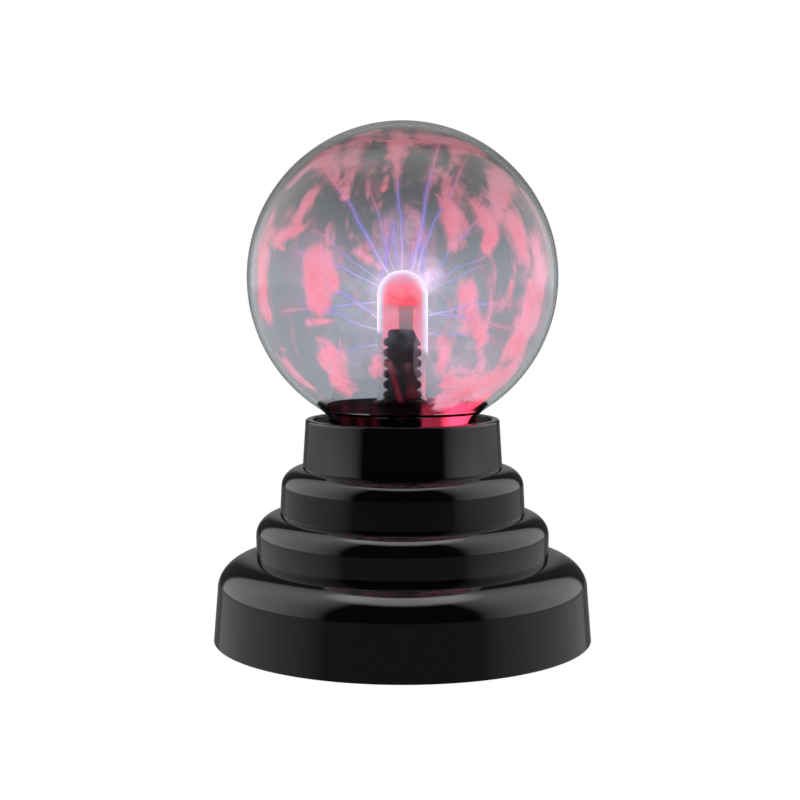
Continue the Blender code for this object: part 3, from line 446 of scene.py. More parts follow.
# a painted reflection: the discharge's dim red streak, leaning to the left, is painted on the post's front
# as emission
post_plastic_painted_reflection = holder_plastic.copy()
post_plastic_painted_reflection.name = "post_plastic_painted_reflection"
leaning = maths(
    post_plastic_painted_reflection, "MULTIPLY_ADD", level_on(post_plastic_painted_reflection), 0.27, level_on(post_plastic_painted_reflection, "X")
)
from_line = maths(post_plastic_painted_reflection, "ABSOLUTE", maths(post_plastic_painted_reflection, "SUBTRACT", leaning, 16.4 * MM))
painted_reflection_streak = ranged(post_plastic_painted_reflection, from_line, 1.0 * MM, 0.1 * MM)
below = ranged(post_plastic_painted_reflection, level_on(post_plastic_painted_reflection), 74 * MM, 69 * MM)
in_front = ranged(post_plastic_painted_reflection, level_on(post_plastic_painted_reflection, "Y"), 0.0, -1.5 * MM)
painted_reflection_share = maths(post_plastic_painted_reflection, "MULTIPLY", maths(post_plastic_painted_reflection, "MULTIPLY", painted_reflection_streak, below), in_front)
fill(post_plastic_painted_reflection.node_tree.nodes["Principled BSDF"], {
    "Emission Strength": maths(post_plastic_painted_reflection, "MULTIPLY", painted_reflection_share, 0.26),
    "Emission Color": (0.9, 0.03, 0.1, 1),
})
post = sheet_of_points("toothed_post", post_points, post_plastic_painted_reflection, False, True, 50)
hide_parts("electrode_holder")
for piece in (cup, post):
    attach(piece, "base")

# ---------------------------------------------------------------- neck plug
# Black open-cell foam, pushed up the neck from below until it meets the
# flare. It hides the holder and the wiring from above.

foam, shader = finish("plug_foam")
pores = add(foam, "TexVoronoi", {"Vector": place_on(foam), "Scale": 1600.0}).outputs["Distance"]
fill(shader, {
    "Base Color": ramp(foam, pores, (0, (0.004, 0.004, 0.004)), (1, (0.02, 0.02, 0.02))),
    "Normal": bumped(foam, pores, 0.3),
    "Roughness": 0.9,
})
cad["neck_plug"].data.materials[0] = foam

# ---------------------------------------------------------------- pin and cap
# A plated pin carries the high voltage up through the post. A plug of fine
# metal wool, pressed on its end, spreads the charge inside the tube.

middle, low, high = middle_of("electrode_pin")
outline = [
    (0, low), (1.6, low), (1.9, low + 0.3), (1.9, 84.0), (1.75, 84.15), (1.75, 84.6),
    (1.9, 84.75), (1.9, high - 0.3), (1.6, high), (0, high),
]
pin_metal, shader = finish("pin_metal")
fill(shader, {
    "Base Color": (0.62, 0.64, 0.54, 1),
    "Normal": bumped(pin_metal, noise(pin_metal, 5000.0, stretch=(1.0, 1.0, 0.05)), 0.01),
    "Metallic": 0.7,
    "Roughness": 0.38,
})
pin = turned("drawn_pin", outline, pin_metal, 48, (middle.x, 0))
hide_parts("electrode_pin")

# painted light: the wool's red colour and its glow stand in for the discharge's red light on the cap
cap_wool_painted_glow, shader = finish("cap_wool_painted_glow")
wool = noise(cap_wool_painted_glow, 480.0, 4.0, distortion=1.2)
tone = ramp(cap_wool_painted_glow, wool, (0.32, (0.55, 0.02, 0.03)), (0.66, (1.0, 0.09, 0.13)))
fill(shader, {
    "Base Color": tone,
    "Emission Color": tone,
    "Emission Strength": 1.9,
    "Normal": bumped(cap_wool_painted_glow, wool, 0.15),
    "Roughness": 0.5,
})
outline = [
    (0, 87.25), (4.7, 87.25), (5.0, 87.5), (5.05, 90.2),
    *bend((3.6, 90.4), (1.45, 2.5), 0, 90, 10), (0, 93.0),
]
cap = turned("wool_cap", outline, cap_wool_painted_glow, 96)
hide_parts("electrode_cap")
for piece, slot in ((pin, "plated_steel"), (cap, "cap_metal")):
    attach(piece, "base")

# ---------------------------------------------------------------- electrode tube
# A clear glass tube, blown to a dome at the top and flared at the foot. The
# flare is melted to the neck's wall, and the tip below it is where the gas
# went in.


def clear_glass(name, tint, high_tint, low_z, high_z, density):
    """Clear glass that darkens and greens with the length of the way through it. The tint
    changes with height between two levels."""
    material, shader = finish(name)
    share = ranged(material, level_on(material), low_z * MM, high_z * MM, soft=True)
    fill(shader, {
        "Base Color": mixed(material, share, (*tint, 1), (*high_tint, 1)),
        "Normal": bumped(material, noise(material, 60.0, 1.0), 0.02, 0.2),
        "Transmission Weight": 1.0,
        "Roughness": 0.0,
        "IOR": 1.47,
        "Specular Tint": (0.15, 0.15, 0.15, 1),
    })
    green = add(material, "VolumeAbsorption", {"Color": (0.26, 0.46, 0.3, 1), "Density": density})
    fill(material.node_tree.nodes["Material Output"], {"Volume": green.outputs["Volume"]})
    return material, shader


tube_glass, shader = clear_glass("tube_glass", (0.92, 0.93, 0.93), (0.95, 0.95, 0.96), 62, 96, 20.0)
# painted shade: below the flare's foot the glass turns opaque black with a faint gloss, standing in for the
# dark neck seen through it
painted_shade_black = add(tube_glass, "BsdfPrincipled", {
    "Base Color": (0.005, 0.004, 0.004, 1), "Roughness": 0.6, "Specular IOR Level": 0.02})
painted_shade_share = ranged(tube_glass, level_on(tube_glass), 62.9 * MM, 62.0 * MM)
both = add(tube_glass, "MixShader", {0: painted_shade_share, 1: shader.outputs[0], 2: painted_shade_black.outputs[0]})
fill(tube_glass.node_tree.nodes["Material Output"], {"Surface": both.outputs[0]})

# in millimetres: the globe's radius, middle and wall; its funnel's radius, which bends about a
# point at FUNNEL_R and FUNNEL_Z; the tube's radius, its dome's middle, and its flare's level
# and radius
BALL, BALL_Z, WALL = 40.0, 94.3, 1.5
FUNNEL, FUNNEL_R, FUNNEL_Z = 8.0, 26.0, 53.95
TUBE, DOME_Z, FLARE_Z, FLARE = 6.25, 89.75, 61.4, 3.2
TUBE_WALL = 0.9


def tube_side(inset):
    """The tube's outline from the dome's top to the flare's edge, moved inwards by inset."""
    radius = TUBE - inset
    edge_z = FLARE_Z - inset - 0.2
    edge_r = FUNNEL_R - math.sqrt((FUNNEL + WALL) ** 2 - (edge_z - FUNNEL_Z) ** 2) - 0.12
    flare = bend((TUBE + FLARE, FLARE_Z + FLARE), (FLARE + inset, FLARE + inset), 180, 270, 14)
    dome = bend((0, DOME_Z), (radius, radius), 90, 0, 24)
    return [(0, dome[0][1]), *dome[1:], *flare, (edge_r, edge_z)]


tube = turned("blown_tube", tube_side(0.0) + tube_side(TUBE_WALL)[::-1], tube_glass, 128)
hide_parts("electrode_tube")
outline = [(0, 60.3), (1.5, 60.3), (1.5, 58.2), *bend((0.9, 57.4), (0.6, 0.8), 0, -90), (0, 56.6)]
tip = turned("exhaust_tip", outline, tube_glass, 32, (11, 0))
for piece in (tube, tip):
    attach(piece, "base")

# ---------------------------------------------------------------- globe
# Clear glass, blown in a mould: a thin ball with a funnel down to the neck,
# which stands in the holder's cup. Low down it looks green along its edge.

globe_glass, shader = clear_glass(
    "globe_glass_clear", (0.58, 0.59, 0.64), (0.3, 0.302, 0.31), 90, 128, 42.0
)
facing = add(globe_glass, "LayerWeight", {"Blend": 0.5}).outputs["Facing"]
low_down = ranged(globe_glass, level_on(globe_glass), 96 * MM, 76 * MM)
share = maths(globe_glass, "MULTIPLY", maths(globe_glass, "POWER", facing, 5.0), low_down)
plain = shader.inputs["Base Color"].links[0].from_socket
green_edge = (0.5, 0.58, 0.46, 1)
fill(shader, {"Base Color": mixed(globe_glass, share, plain, green_edge, "MULTIPLY")})


def globe_side(steps):
    """The globe's outline from its crown to the foot of its neck and back up inside. The wall is
    measured square to the outline."""
    meet = math.atan2(BALL_Z - FUNNEL_Z, FUNNEL_R)
    lean = np.linspace(math.pi / 2, -meet, steps)
    ball = np.stack([np.cos(lean), np.sin(lean)], axis=-1)
    lean = np.linspace(math.pi - meet, math.pi, steps // 4)[1:]
    funnel = np.stack([np.cos(lean), np.sin(lean)], axis=-1)
    neck_foot = (FUNNEL_R - FUNNEL, 47.3)
    outer = np.vstack([(0, BALL_Z) + BALL * ball, (FUNNEL_R, FUNNEL_Z) + FUNNEL * funnel, [neck_foot]])
    facing = np.vstack([ball, -funnel, [(1, 0)]])
    inner = outer - facing * WALL
    inner[0, 0] = outer[0, 0] = 0
    return [*outer.tolist(), *inner[::-1].tolist()]


globe = turned("blown_globe", globe_side(110), globe_glass, 224)
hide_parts("globe_glass")
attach(globe, "base")

# ---------------------------------------------------------------- base housing
# One gloss black moulding in four steps with rounded shoulders. The collar at
# its top has a rounded lip, and a recess at the back frames the switch.

gloss, shader = finish("gloss_black_plastic")
fill(shader, {
    "Base Color": (0.0015, 0.0015, 0.0018, 1),
    "Normal": bumped(gloss, noise(gloss, 35.0), 0.05, 0.25),
    "Roughness": ranged(gloss, noise(gloss, 1200.0), 0.3, 0.75, 0.05, 0.11),
    "IOR": 1.5,
})

# each tier: radius low and high on its side, its lowest level, its shoulder's and its rise
TIERS = [(49.2, 48.1, 0.8, 14.2, 8.1), (38.0, 38.1, 22.3, 27.8, 5.6), (31.85, 31.5, 33.4, 40.4, 5.0)]
COLLAR_FOOT = (25.95, 45.4)


def stepped_side(inset, steps):
    """The steps' outline from the bottom edge to the collar's foot, moved inwards by inset."""
    points = []
    following = [tier[0] for tier in TIERS[1:]] + [COLLAR_FOOT[0]]
    for index, (low_r, high_r, low_z, shoulder_z, rise) in enumerate(TIERS):
        points.append((low_r - inset, low_z if index == 0 else low_z - inset))
        next_r = following[index]
        reach = (high_r - next_r - inset, rise - inset)
        points += bend((next_r, shoulder_z), reach, 0, 90, steps)
    return [*points, (COLLAR_FOOT[0] - inset, COLLAR_FOOT[1] - inset)]


lip = [
    (25.2, 57.2), *bend((24.6, 57.3), (0.6, 0.6), 0, 90, 6),
    *bend((23.6, 57.5), (0.4, 0.4), 90, 180, 4), (23.2, 54.9), (19.4, 54.9), (19.4, 52.9), (23.2, 52.9),
]
housing = turned("stepped_housing", stepped_side(0, 24) + lip + stepped_side(2.0, 12)[::-1], gloss, 256)


def carve(piece, low, high, turn=0.0, hole=False):
    """Cuts a box, or a round hole along Y, out of a piece, and bakes the cut into its mesh."""
    tool = bpy.data.meshes.new("tool")
    form = bmesh.new()
    if hole:
        bmesh.ops.create_cone(form, cap_ends=True, segments=48, radius1=0.5, radius2=0.5, depth=1.0)
        bmesh.ops.rotate(form, verts=form.verts, matrix=Matrix.Rotation(math.pi / 2, 3, "X"))
        bmesh.ops.recalc_face_normals(form, faces=form.faces)
    else:
        bmesh.ops.create_cube(form, size=1.0)
    low, high = np.array(low) * MM, np.array(high) * MM
    c, s = math.cos(turn), math.sin(turn)
    for vert in form.verts:
        x, y, z = np.array(vert.co) * (high - low) + (low + high) / 2
        vert.co = (c * x - s * y, s * x + c * y, z)
    form.to_mesh(tool)
    form.free()
    cutter = bpy.data.objects.new("tool", tool)
    bpy.context.scene.collection.objects.link(cutter)
    cutting = piece.modifiers.new("cut", "BOOLEAN")
    cutting.operation = "DIFFERENCE"
    cutting.solver = "EXACT"
    cutting.object = cutter
    cut = bpy.data.meshes.new_from_object(piece.evaluated_get(bpy.context.evaluated_depsgraph_get()))
    piece.modifiers.clear()
    piece.data = cut
    cut.set_sharp_from_angle(angle=math.radians(30))
    bpy.data.objects.remove(cutter)


# the switch's recess, the slot through to its slider, and the socket's hole beside them
carve(housing, (-7, 47.6, 4.6), (7, 52, 11.4))
carve(housing, (-4.3, 44, 6.0), (4.3, 52, 10.0))
carve(housing, (-3.5, 43, 4.5), (3.5, 53, 11.5), math.radians(-30), True)

# each: name, bearing of the first, distance from the axis, radii, lowest and highest level
bosses = []
for stem, first, from_axis, inner, outer, low, high in (
    ("cover_boss", 30, 40.8, 1.5, 3.0, 4.0, 18.6),
    ("holder_boss", 90, 25.6, 1.4, 2.5, 41.3, 43.3),
):
    for degrees in (first, first + 120, first + 240):
        bearing = math.radians(degrees)
        spot = (from_axis * math.cos(bearing), from_axis * math.sin(bearing))
        outline = [(inner, low), (outer, low), (outer, high), (inner, high)]
        bosses.append(turned(f"{stem}_{degrees}", outline, gloss, 32, spot))

_, low, high = middle_of("globe_seat_ring")
outline = [
    (19.2, low), (22.9, low), *bend((22.5, high - 0.4), (0.4, 0.4), 0, 90, 5),
    *bend((19.6, high - 0.4), (0.4, 0.4), 90, 180, 5),
]
satin = moulded("satin_black_plastic", (0.004, 0.004, 0.004), (0.007, 0.007, 0.007), 0.5, 0.4, 0.02)
fill(satin.node_tree.nodes["Principled BSDF"], {"Specular IOR Level": 0.05})
ring = turned("seat_ring", outline, satin, 224)
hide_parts("base_housing")
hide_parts("globe_seat_ring")
for piece in (housing, ring, *bosses):
    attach(piece, "base")

# ---------------------------------------------------------------- discharge in the tube
# Gas glows against the tube: a thin violet-white skin on the dome and down
# its sides, and a warm haze inside, between the dome, the cap and the post.


def glowing(name, colour, strength, alpha):
    """Light from gas, and the painted reflection down the neck: it adds its own colour and lets the rest
    through by its alpha.
    """
    material, shader = finish(name)
    material.node_tree.nodes.remove(shader)
    clear = add(material, "BsdfTransparent")
    light = add(material, "Emission", {"Color": (*colour, 1), "Strength": strength})
    blend = add(material, "MixShader", {0: alpha(material), 1: clear.outputs[0], 2: light.outputs[0]})
    fill(material.node_tree.nodes["Material Output"], {"Surface": blend.outputs[0]})
    return material, light


def edge_on(material):
    """Thin gas looks denser where it is seen edge on, and it fades with the mesh."""
    facing = add(material, "LayerWeight", {"Blend": 0.5}).outputs["Facing"]
    dense = maths(material, "POWER", facing, 2.2)
    return maths(material, "MULTIPLY", dense, carried(material, "fade"), clamp=True)


def as_carried(material):
    """Gas, and the painted reflection down the neck, that fades with the mesh alone."""
    return carried(material, "fade")


def deep(material, power):
    """A round body of gas is deepest along its middle: one less its facing, to a power."""
    facing = add(material, "LayerWeight", {"Blend": 0.5}).outputs["Facing"]
    return maths(material, "POWER", maths(material, "SUBTRACT", 1.0, facing), power)


def dome_outline(radius, steps, foot_z, side_steps):
    """A dome and the straight side under it, as (radius, height)."""
    side = [(radius, z) for z in np.linspace(89, foot_z, side_steps)]
    dome = bend((0, DOME_Z), (radius, radius), 90, 0, steps)
    return np.array([(0.0, dome[0][1]), *dome[1:], *side])


sides = 144
angle = np.linspace(0, 2 * np.pi, sides, endpoint=False)[None, :]
skin_light, _ = glowing("tube_skin", (1.0, 0.76, 0.94), 3.0, edge_on)
outline = dome_outline(6.55, 30, 73, 40)
tall = outline[:, 1][:, None]
# the skin of light ends on a slant, lower on the right, and is brightest on the dome
foot = 77.0 - 2.8 * np.cos(angle)
fade = np.clip((tall - foot) / 1.6, 0, 1) * (0.75 + 0.25 * np.clip((tall - 84) / 8, 0, 1))
skin = sheet_of_points(
    "tube_glow_skin", around(outline, sides), skin_light, False, True, 80, {"fade": fade}
)

haze_light, light = glowing("tube_haze", (1.0, 0.26, 0.33), 1.7, as_carried)
mottled = maths(
    haze_light, "MULTIPLY_ADD", noise(haze_light, 260.0, 3.0), 0.004, level_on(haze_light)
)
fill(light, {"Color": ramp(
    haze_light,
    ranged(haze_light, mottled, 78 * MM, 98 * MM),
    (0.44, (1.0, 0.24, 0.32)),
    (0.56, (1.0, 0.1, 0.13)),
    (0.78, (1.0, 0.13, 0.18)),
    (0.96, (1.0, 0.22, 0.32)),
)})
outline = dome_outline(5.3, 20, 74.5, 60)
tall = outline[:, 1][:, None]
# the haze is thin in front of the pin, thick behind it, and fills the top of the dome
behind_pin = np.clip(np.sin(angle) * 3 + 0.5, 0, 1)
fade = np.where(tall > 86.5, 0.3 + 0.24 * behind_pin, 0.1 + 0.82 * behind_pin)
fade = np.maximum(fade, 0.7 * np.clip((tall - 91.4) / 0.9, 0, 1))
fade = fade * np.clip((tall - 75.0 - 6.5 * (1 - behind_pin)) / 1.5, 0, 1)
haze = sheet_of_points(
    "tube_haze_skin", around(outline, sides), haze_light, False, True, 80, {"fade": fade}
)
for piece in (skin, haze):
    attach(piece, "base")

# ---------------------------------------------------------------- streamers
# Threads of discharge run from the tube to the globe's wall: violet-white
# where they start, blue-violet on the way, and pink where they spread out.


def unit(azimuth, elevation):
    """The direction at an azimuth from the front towards +X and an elevation, in degrees."""
    a, e = math.radians(azimuth), math.radians(elevation)
    return np.array([math.cos(e) * math.sin(a), -math.cos(e) * math.cos(a), math.sin(e)])


def tube_point(azimuth, tall):
    """A point on the tube's outside at a height in millimetres."""
    above = max(tall - DOME_Z, 0)
    return unit(azimuth, 0) * math.sqrt(max(6.5**2 - above**2, 0)) + np.array([0, 0, tall])


def thread(start, end, sway, lift, seed):
    """A curve from start to end: a quadratic bow, pushed sideways and up at its middle, plus a
    sum of three sine waves that is still at both ends."""
    t = np.linspace(0, 1, 72)[:, None]
    ahead = end - start
    sideways = np.cross(ahead, (0, 0, 1))
    sideways = sideways / max(np.linalg.norm(sideways), 1e-6)
    middle = (start + end) / 2 + sideways * sway * 2 + np.array([0, 0, lift * 2])
    path = (1 - t) ** 2 * start + 2 * t * (1 - t) * middle + t**2 * end
    other = np.cross(ahead / np.linalg.norm(ahead), sideways)
    still = np.sin(np.pi * t)
    for k, size in ((2, 0.42), (5, 0.2), (9, 0.1)):
        path = path + sideways * still * size * np.sin(k * np.pi * t + seed * 2.1 * k)
        path = path + other * still * size * np.cos(k * np.pi * t + seed * 1.3 * k)
    return path, t[:, 0]


def wisps(name, threads, material, sides):
    """Round tubes of changing radius along each thread's path, all in one mesh: the ring at a
    point is radius * (cos(angle) * across + sin(angle) * up), square to the path."""
    rings, fades, warmths = [], [], []
    for path, radius, fade, warmth in threads:
        ahead = np.gradient(path, axis=0)
        ahead /= np.linalg.norm(ahead, axis=1)[:, None]
        across = np.cross(ahead, (0.13, 0.91, 0.37))
        across /= np.linalg.norm(across, axis=1)[:, None]
        up = np.cross(across, ahead)
        angle = np.linspace(0, 2 * np.pi, sides, endpoint=False)[None, :, None]
        wide = radius[:, None, None]
        ring = path[:, None] + wide * (np.cos(angle) * across[:, None] + np.sin(angle) * up[:, None])
        ring[0], ring[-1] = path[0], path[-1]
        rings.append(ring * MM)
        fades.append(np.repeat(fade, sides))
        warmths.append(np.repeat(warmth, sides))
    values = {"fade": fades, "warmth": warmths}
    joined = sheets_of_points(name, rings, material, False, True, 80, values)
    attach(joined, "base")


def streamer_light(name, strength, power, most):
    """Gas in a thread: violet-white at warmth 0, blue-violet on the way, pink at warmth 1."""

    def alpha(material):
        fading = maths(material, "MULTIPLY", deep(material, power), carried(material, "fade"))
        return maths(material, "MULTIPLY", fading, most, clamp=True)

    material, light = glowing(name, (1, 1, 1), strength, alpha)
    fill(light, {"Color": ramp(
        material,
        carried(material, "warmth"),
        (0, (1.0, 0.82, 1.0)),
        (0.15, (0.6, 0.48, 1.0)),
        (0.4, (0.36, 0.33, 1.0)),
        (0.6, (0.5, 0.34, 0.9)),
        (0.74, (1.0, 0.32, 0.48)),
        (1, (1.0, 0.24, 0.36)),
    )})
    return material


core_light = streamer_light("streamer_core", 2.1, 1.0, 0.5)
halo_light = streamer_light("streamer_halo", 1.4, 3.0, 0.34)

# each: azimuth and height on the tube, azimuth and elevation on the wall, reach, sway, lift,
# spread at the wall in millimetres, and brightness
STREAMERS = [
    (-60, 95.0, -80, 55, 1.0, 0.0, 0.0, 1.7, 1.0),
    (-10, 96.1, -6, 66, 1.0, -0.4, 0.0, 1.6, 0.9),
    (60, 95.6, 70, 74, 1.0, 1.6, -1.0, 1.0, 0.9),
    (70, 95.0, 40, 50, 1.0, 1.2, 0.0, 0.9, 0.8),
    (75, 92.0, 31, 22, 0.95, 0.8, 0.0, 0.8, 0.9),
    (80, 91.5, 36, 9, 0.95, 0.6, 0.6, 0.7, 0.8),
    (100, 90.5, 140, 6, 0.9, -0.5, 0.5, 0.7, 0.7),
    (85, 84.5, 60, -9, 0.8, -0.4, 1.2, 0.9, 0.7),
    (-80, 84.0, -33, 3, 0.98, 0.6, -0.3, 0.6, 1.0),
    (-80, 85.0, -140, 0, 0.92, 0.4, 0.2, 0.6, 0.7),
    (-70, 92.0, -44, 10, 1.0, 0.3, 0.4, 0.6, 0.8),
    (-85, 93.0, -135, 21, 1.0, 0.3, 0.4, 1.2, 0.6),
    (-80, 81.0, -100, -3, 0.7, 0.3, -0.4, 0.6, 0.5),
    (-75, 77.0, -48, -28, 0.6, 0.3, -0.2, 0.7, 0.4),
    (80, 80.0, 50, -24, 0.8, -0.3, 0.3, 1.6, 0.4),
    (150, 95.4, 160, 50, 1.0, 0.4, 0.3, 1.3, 0.7),
    (-150, 95.2, -160, 44, 1.0, -0.4, 0.3, 1.3, 0.7),
    (170, 93.0, 172, 18, 1.0, 0.5, 0.4, 1.2, 0.7),
    (-120, 88.0, -112, -14, 0.95, 0.4, 0.2, 1.0, 0.6),
    (125, 86.0, 118, -22, 0.95, -0.4, 0.2, 1.2, 0.6),
]
WALL_REACH = 38.1
cores, halos = [], []
for seed, (azimuth, tall, to_az, to_el, reach, sway, lift, spread, bright) in enumerate(STREAMERS):
    start = tube_point(azimuth, tall)
    wall = unit(to_az, to_el) * WALL_REACH + np.array([0, 0, BALL_Z])
    path, t = thread(start, start + (wall - start) * reach, sway, lift, seed)
    opening = np.clip((t - 0.55) / 0.45, 0, 1) ** 1.6
    fade = bright * (1 - (0.55 if spread >= 1 else 0.8) * opening)
    warmth = t * min(1, 0.5 + 0.4 * spread)
    cores.append((path, 0.13 + 0.14 * (1 - t) + 0.5 * spread * opening, fade, warmth))
    halo_radius = 0.8 + 1.0 * (1 - t) ** 2 + 2.2 * spread * opening
    halos.append((path, halo_radius, fade * (0.5 + 0.5 * t), warmth))

# loops that leave the dome and come to nothing above it: azimuth and height on the tube, where
# it ends, sway, brightness, and how pink it gets
LOOPS = [
    (-100, 92.5, (-4.6, 0, 110), -1.6, 1.0, 0.7),
    (100, 92.5, (5.6, 0, 108), 1.0, 0.9, 0.7),
    (-30, 96.0, (-2.4, -2, 109), 0.7, 1.2, 0.4),
    (60, 96.0, (3.0, -2, 104), -0.8, 1.0, 0.8),
]
for seed, (azimuth, tall, end, sway, bright, pink) in enumerate(LOOPS):
    path, t = thread(tube_point(azimuth, tall), np.array(end, float), sway, 0.0, seed + 40)
    fade = bright * np.sin(np.pi * np.clip(t, 0, 1)) ** 0.5
    cores.append((path, 0.2 + 0 * t, fade, pink * (0.3 + 0.9 * t).clip(0, 1)))
    halos.append((path, 0.7 + 0.8 * t, fade, pink * (0.3 + 0.9 * t).clip(0, 1)))
wisps("streamer_cores", cores, core_light, 10)
wisps("streamer_halos", halos, halo_light, 14)

# ---------------------------------------------------------------- wall glow
# Where the discharge meets the glass it spreads into ragged pink patches
# on the inside of the wall.

# each: azimuth and elevation where it starts, the same where it ends, its half width at both
# ends in millimetres, and its strength
PATCHES = [
    (-24, 31, -51, 50, 0.6, 3.4, 1.0),
    (-24, 30, -29, 55, 1.0, 3.0, 0.9),
    (-14, 28, -16, 40, 0.5, 1.2, 0.6),
    (-3, 31, -3, 62, 0.4, 2.6, 1.0),
    (-25, 58, -10, 61, 1.5, 1.5, 0.7),
    (16, 60, 53, 54, 2.2, 3.2, 0.9),
    (21, 39, 40, 57, 0.4, 3.2, 0.9),
    (18, 11, 20, 37, 1.2, 2.8, 0.95),
    (31, 11, 51, 38, 1.6, 3.6, 1.05),
    (46, 20, 62, 3, 3.0, 4.0, 0.9),
    (53, -27, 56, -7, 3.4, 3.6, 1.0),
    (37, -12, 42, -2, 1.0, 1.4, 0.6),
    (31, -22, 23, -7, 1.8, 2.8, 0.85),
    (16, -35, 17, -23, 1.0, 1.6, 0.7),
    (37, -35, 33, -27, 1.2, 1.2, 0.6),
    (27, -49, 58, -38, 3.2, 4.0, 1.15),
    (-43, 20, -41, 27, 1.4, 1.6, 0.85),
    (-40, 18, -55, 13, 1.0, 2.2, 0.9),
    (-48, 10, -60, 15, 0.8, 2.4, 0.9),
    (-32, -8, -32, 6, 2.6, 3.2, 1.1),
    (-27, 12, -28, 18, 1.2, 1.2, 0.8),
    (-25, -3, -27, 8, 1.3, 1.3, 0.9),
    (-64, -12, -61, 10, 3.4, 3.8, 0.8),
    (-26, -15, -37, -16, 0.3, 1.3, 0.9),
    (-53, -44, -61, -33, 1.0, 1.9, 0.9),
    (-30, -43, -31, -30, 2.8, 3.4, 0.8),
    (-13, -37, -11, -29, 1.2, 1.2, 0.65),
    (-159, 12, -171, 4, 1.6, 0.8, 0.7),
    (-95, 40, -100, 58, 2.0, 4.0, 0.9),
    (-122, 24, -126, 36, 2.0, 3.0, 0.8),
    (-142, -6, -141, 9, 2.6, 3.2, 0.7),
    (-104, -14, -100, 6, 3.0, 4.0, 0.8),
    (-90, 14, -94, 24, 2.0, 3.0, 0.8),
    (-138, -44, -141, -32, 2.4, 3.6, 0.8),
    (-112, 74, -60, 72, 3.0, 3.0, 0.8),
    (-170, 40, -176, 64, 0.6, 3.0, 0.7),
    (172, 16, 176, 28, 1.4, 2.6, 0.6),
    (178, -28, 176, -12, 1.4, 2.4, 0.5),
    (152, 14, 155, 34, 1.4, 2.8, 0.8),
    (136, 16, 140, 32, 1.8, 3.4, 0.9),
    (116, 8, 120, 24, 3.0, 4.0, 0.8),
    (100, -4, 102, 14, 3.0, 4.0, 0.8),
    (82, 18, 84, 32, 2.6, 3.6, 0.8),
    (150, -22, 152, -6, 1.8, 3.0, 0.8),
    (112, -30, 116, -12, 3.0, 3.8, 0.8),
    (118, -50, 146, -46, 4.0, 4.0, 0.9),
    (158, -38, 158, -28, 1.2, 2.0, 0.7),
    (70, 60, 110, 68, 2.6, 3.4, 0.9),
    (140, 72, 170, 70, 2.6, 3.0, 0.7),
    (88, -46, 98, -36, 3.0, 3.6, 0.8),
    (-92, -46, -84, -34, 1.6, 2.6, 0.8),
]
REACH = 38.25
rows, columns = 300, 280
elevation = np.radians(np.linspace(90, -57.5, rows))[:, None]
azimuth = np.linspace(0, 2 * np.pi, columns, endpoint=False)[None, :]
out = np.stack(
    [
        np.cos(elevation) * np.sin(azimuth),
        -np.cos(elevation) * np.cos(azimuth),
        np.sin(elevation) * np.ones_like(azimuth),
    ],
    axis=-1,
)
glow = np.zeros((rows, columns))
for from_az, from_el, to_az, to_el, thin, wide, strength in PATCHES:
    start, end = unit(from_az, from_el), unit(to_az, to_el)
    along = end - start
    share = np.clip((out - start) @ along / (along @ along), 0, 1)
    away = np.linalg.norm(out - start - share[..., None] * along, axis=-1) * REACH
    away = away / (1.25 * (thin + (wide - thin) * share))
    glow = np.maximum(glow, strength * np.exp(-0.7 * away**2))
slow = sum(
    np.sin(out @ np.array(wave) + shift)
    for wave, shift in (((5, 2, 3), 0.4), ((-3, 6, 2), 2.0), ((2, -4, 7), 4.1), ((7, 5, -6), 1.2))
)
glow = np.maximum(glow, (0.16 + 0.05 * slow) * np.clip((out[..., 2] + 0.62) / 0.1, 0, 1))


def patch_alpha(material):
    """The patches' soft outline, torn into upright rags by a stretched noise."""
    rags = noise(material, 210.0, 4.0, 0.6, 0.6, (1.0, 1.0, 0.42))
    glow = carried(material, "glow")
    torn = maths(material, "ADD", glow, maths(material, "MULTIPLY_ADD", rags, 2.0, -1.0))
    shaped = ranged(material, torn, 0.22, 0.95, 0.0, 0.92, soft=True)
    return maths(material, "MULTIPLY", shaped, ranged(material, glow, 0.04, 0.3), clamp=True)


patch_light, light = glowing("wall_glow", (1.0, 0.3, 0.4), 1.8, patch_alpha)
streaks = noise(patch_light, 130.0, 3.0)
tone = ramp(patch_light, streaks, (0.3, (1.0, 0.28, 0.35)), (0.7, (1.0, 0.42, 0.55)))
fill(light, {"Color": tone})
points = out * REACH + np.array([0, 0, BALL_Z])
patches = sheet_of_points(
    "wall_glow_patches", points * MM, patch_light, False, True, 80, {"glow": glow}
)
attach(patches, "base")

# ---------------------------------------------------------------- glow in the gas
# The gas itself glows faintly where the field is strong: a violet haze round
# the tube and brighter tufts on the dome. The red light down the neck is a
# painted reflection of the discharge in the dark floor of the flare.


def tuft(material, power, most):
    """A soft ball of light, deepest at its middle and gone at its edge."""
    uneven = ranged(material, noise(material, 260.0, 4.0), 0.3, 0.7, 0.0, most)
    return maths(material, "MULTIPLY", deep(material, power), uneven)


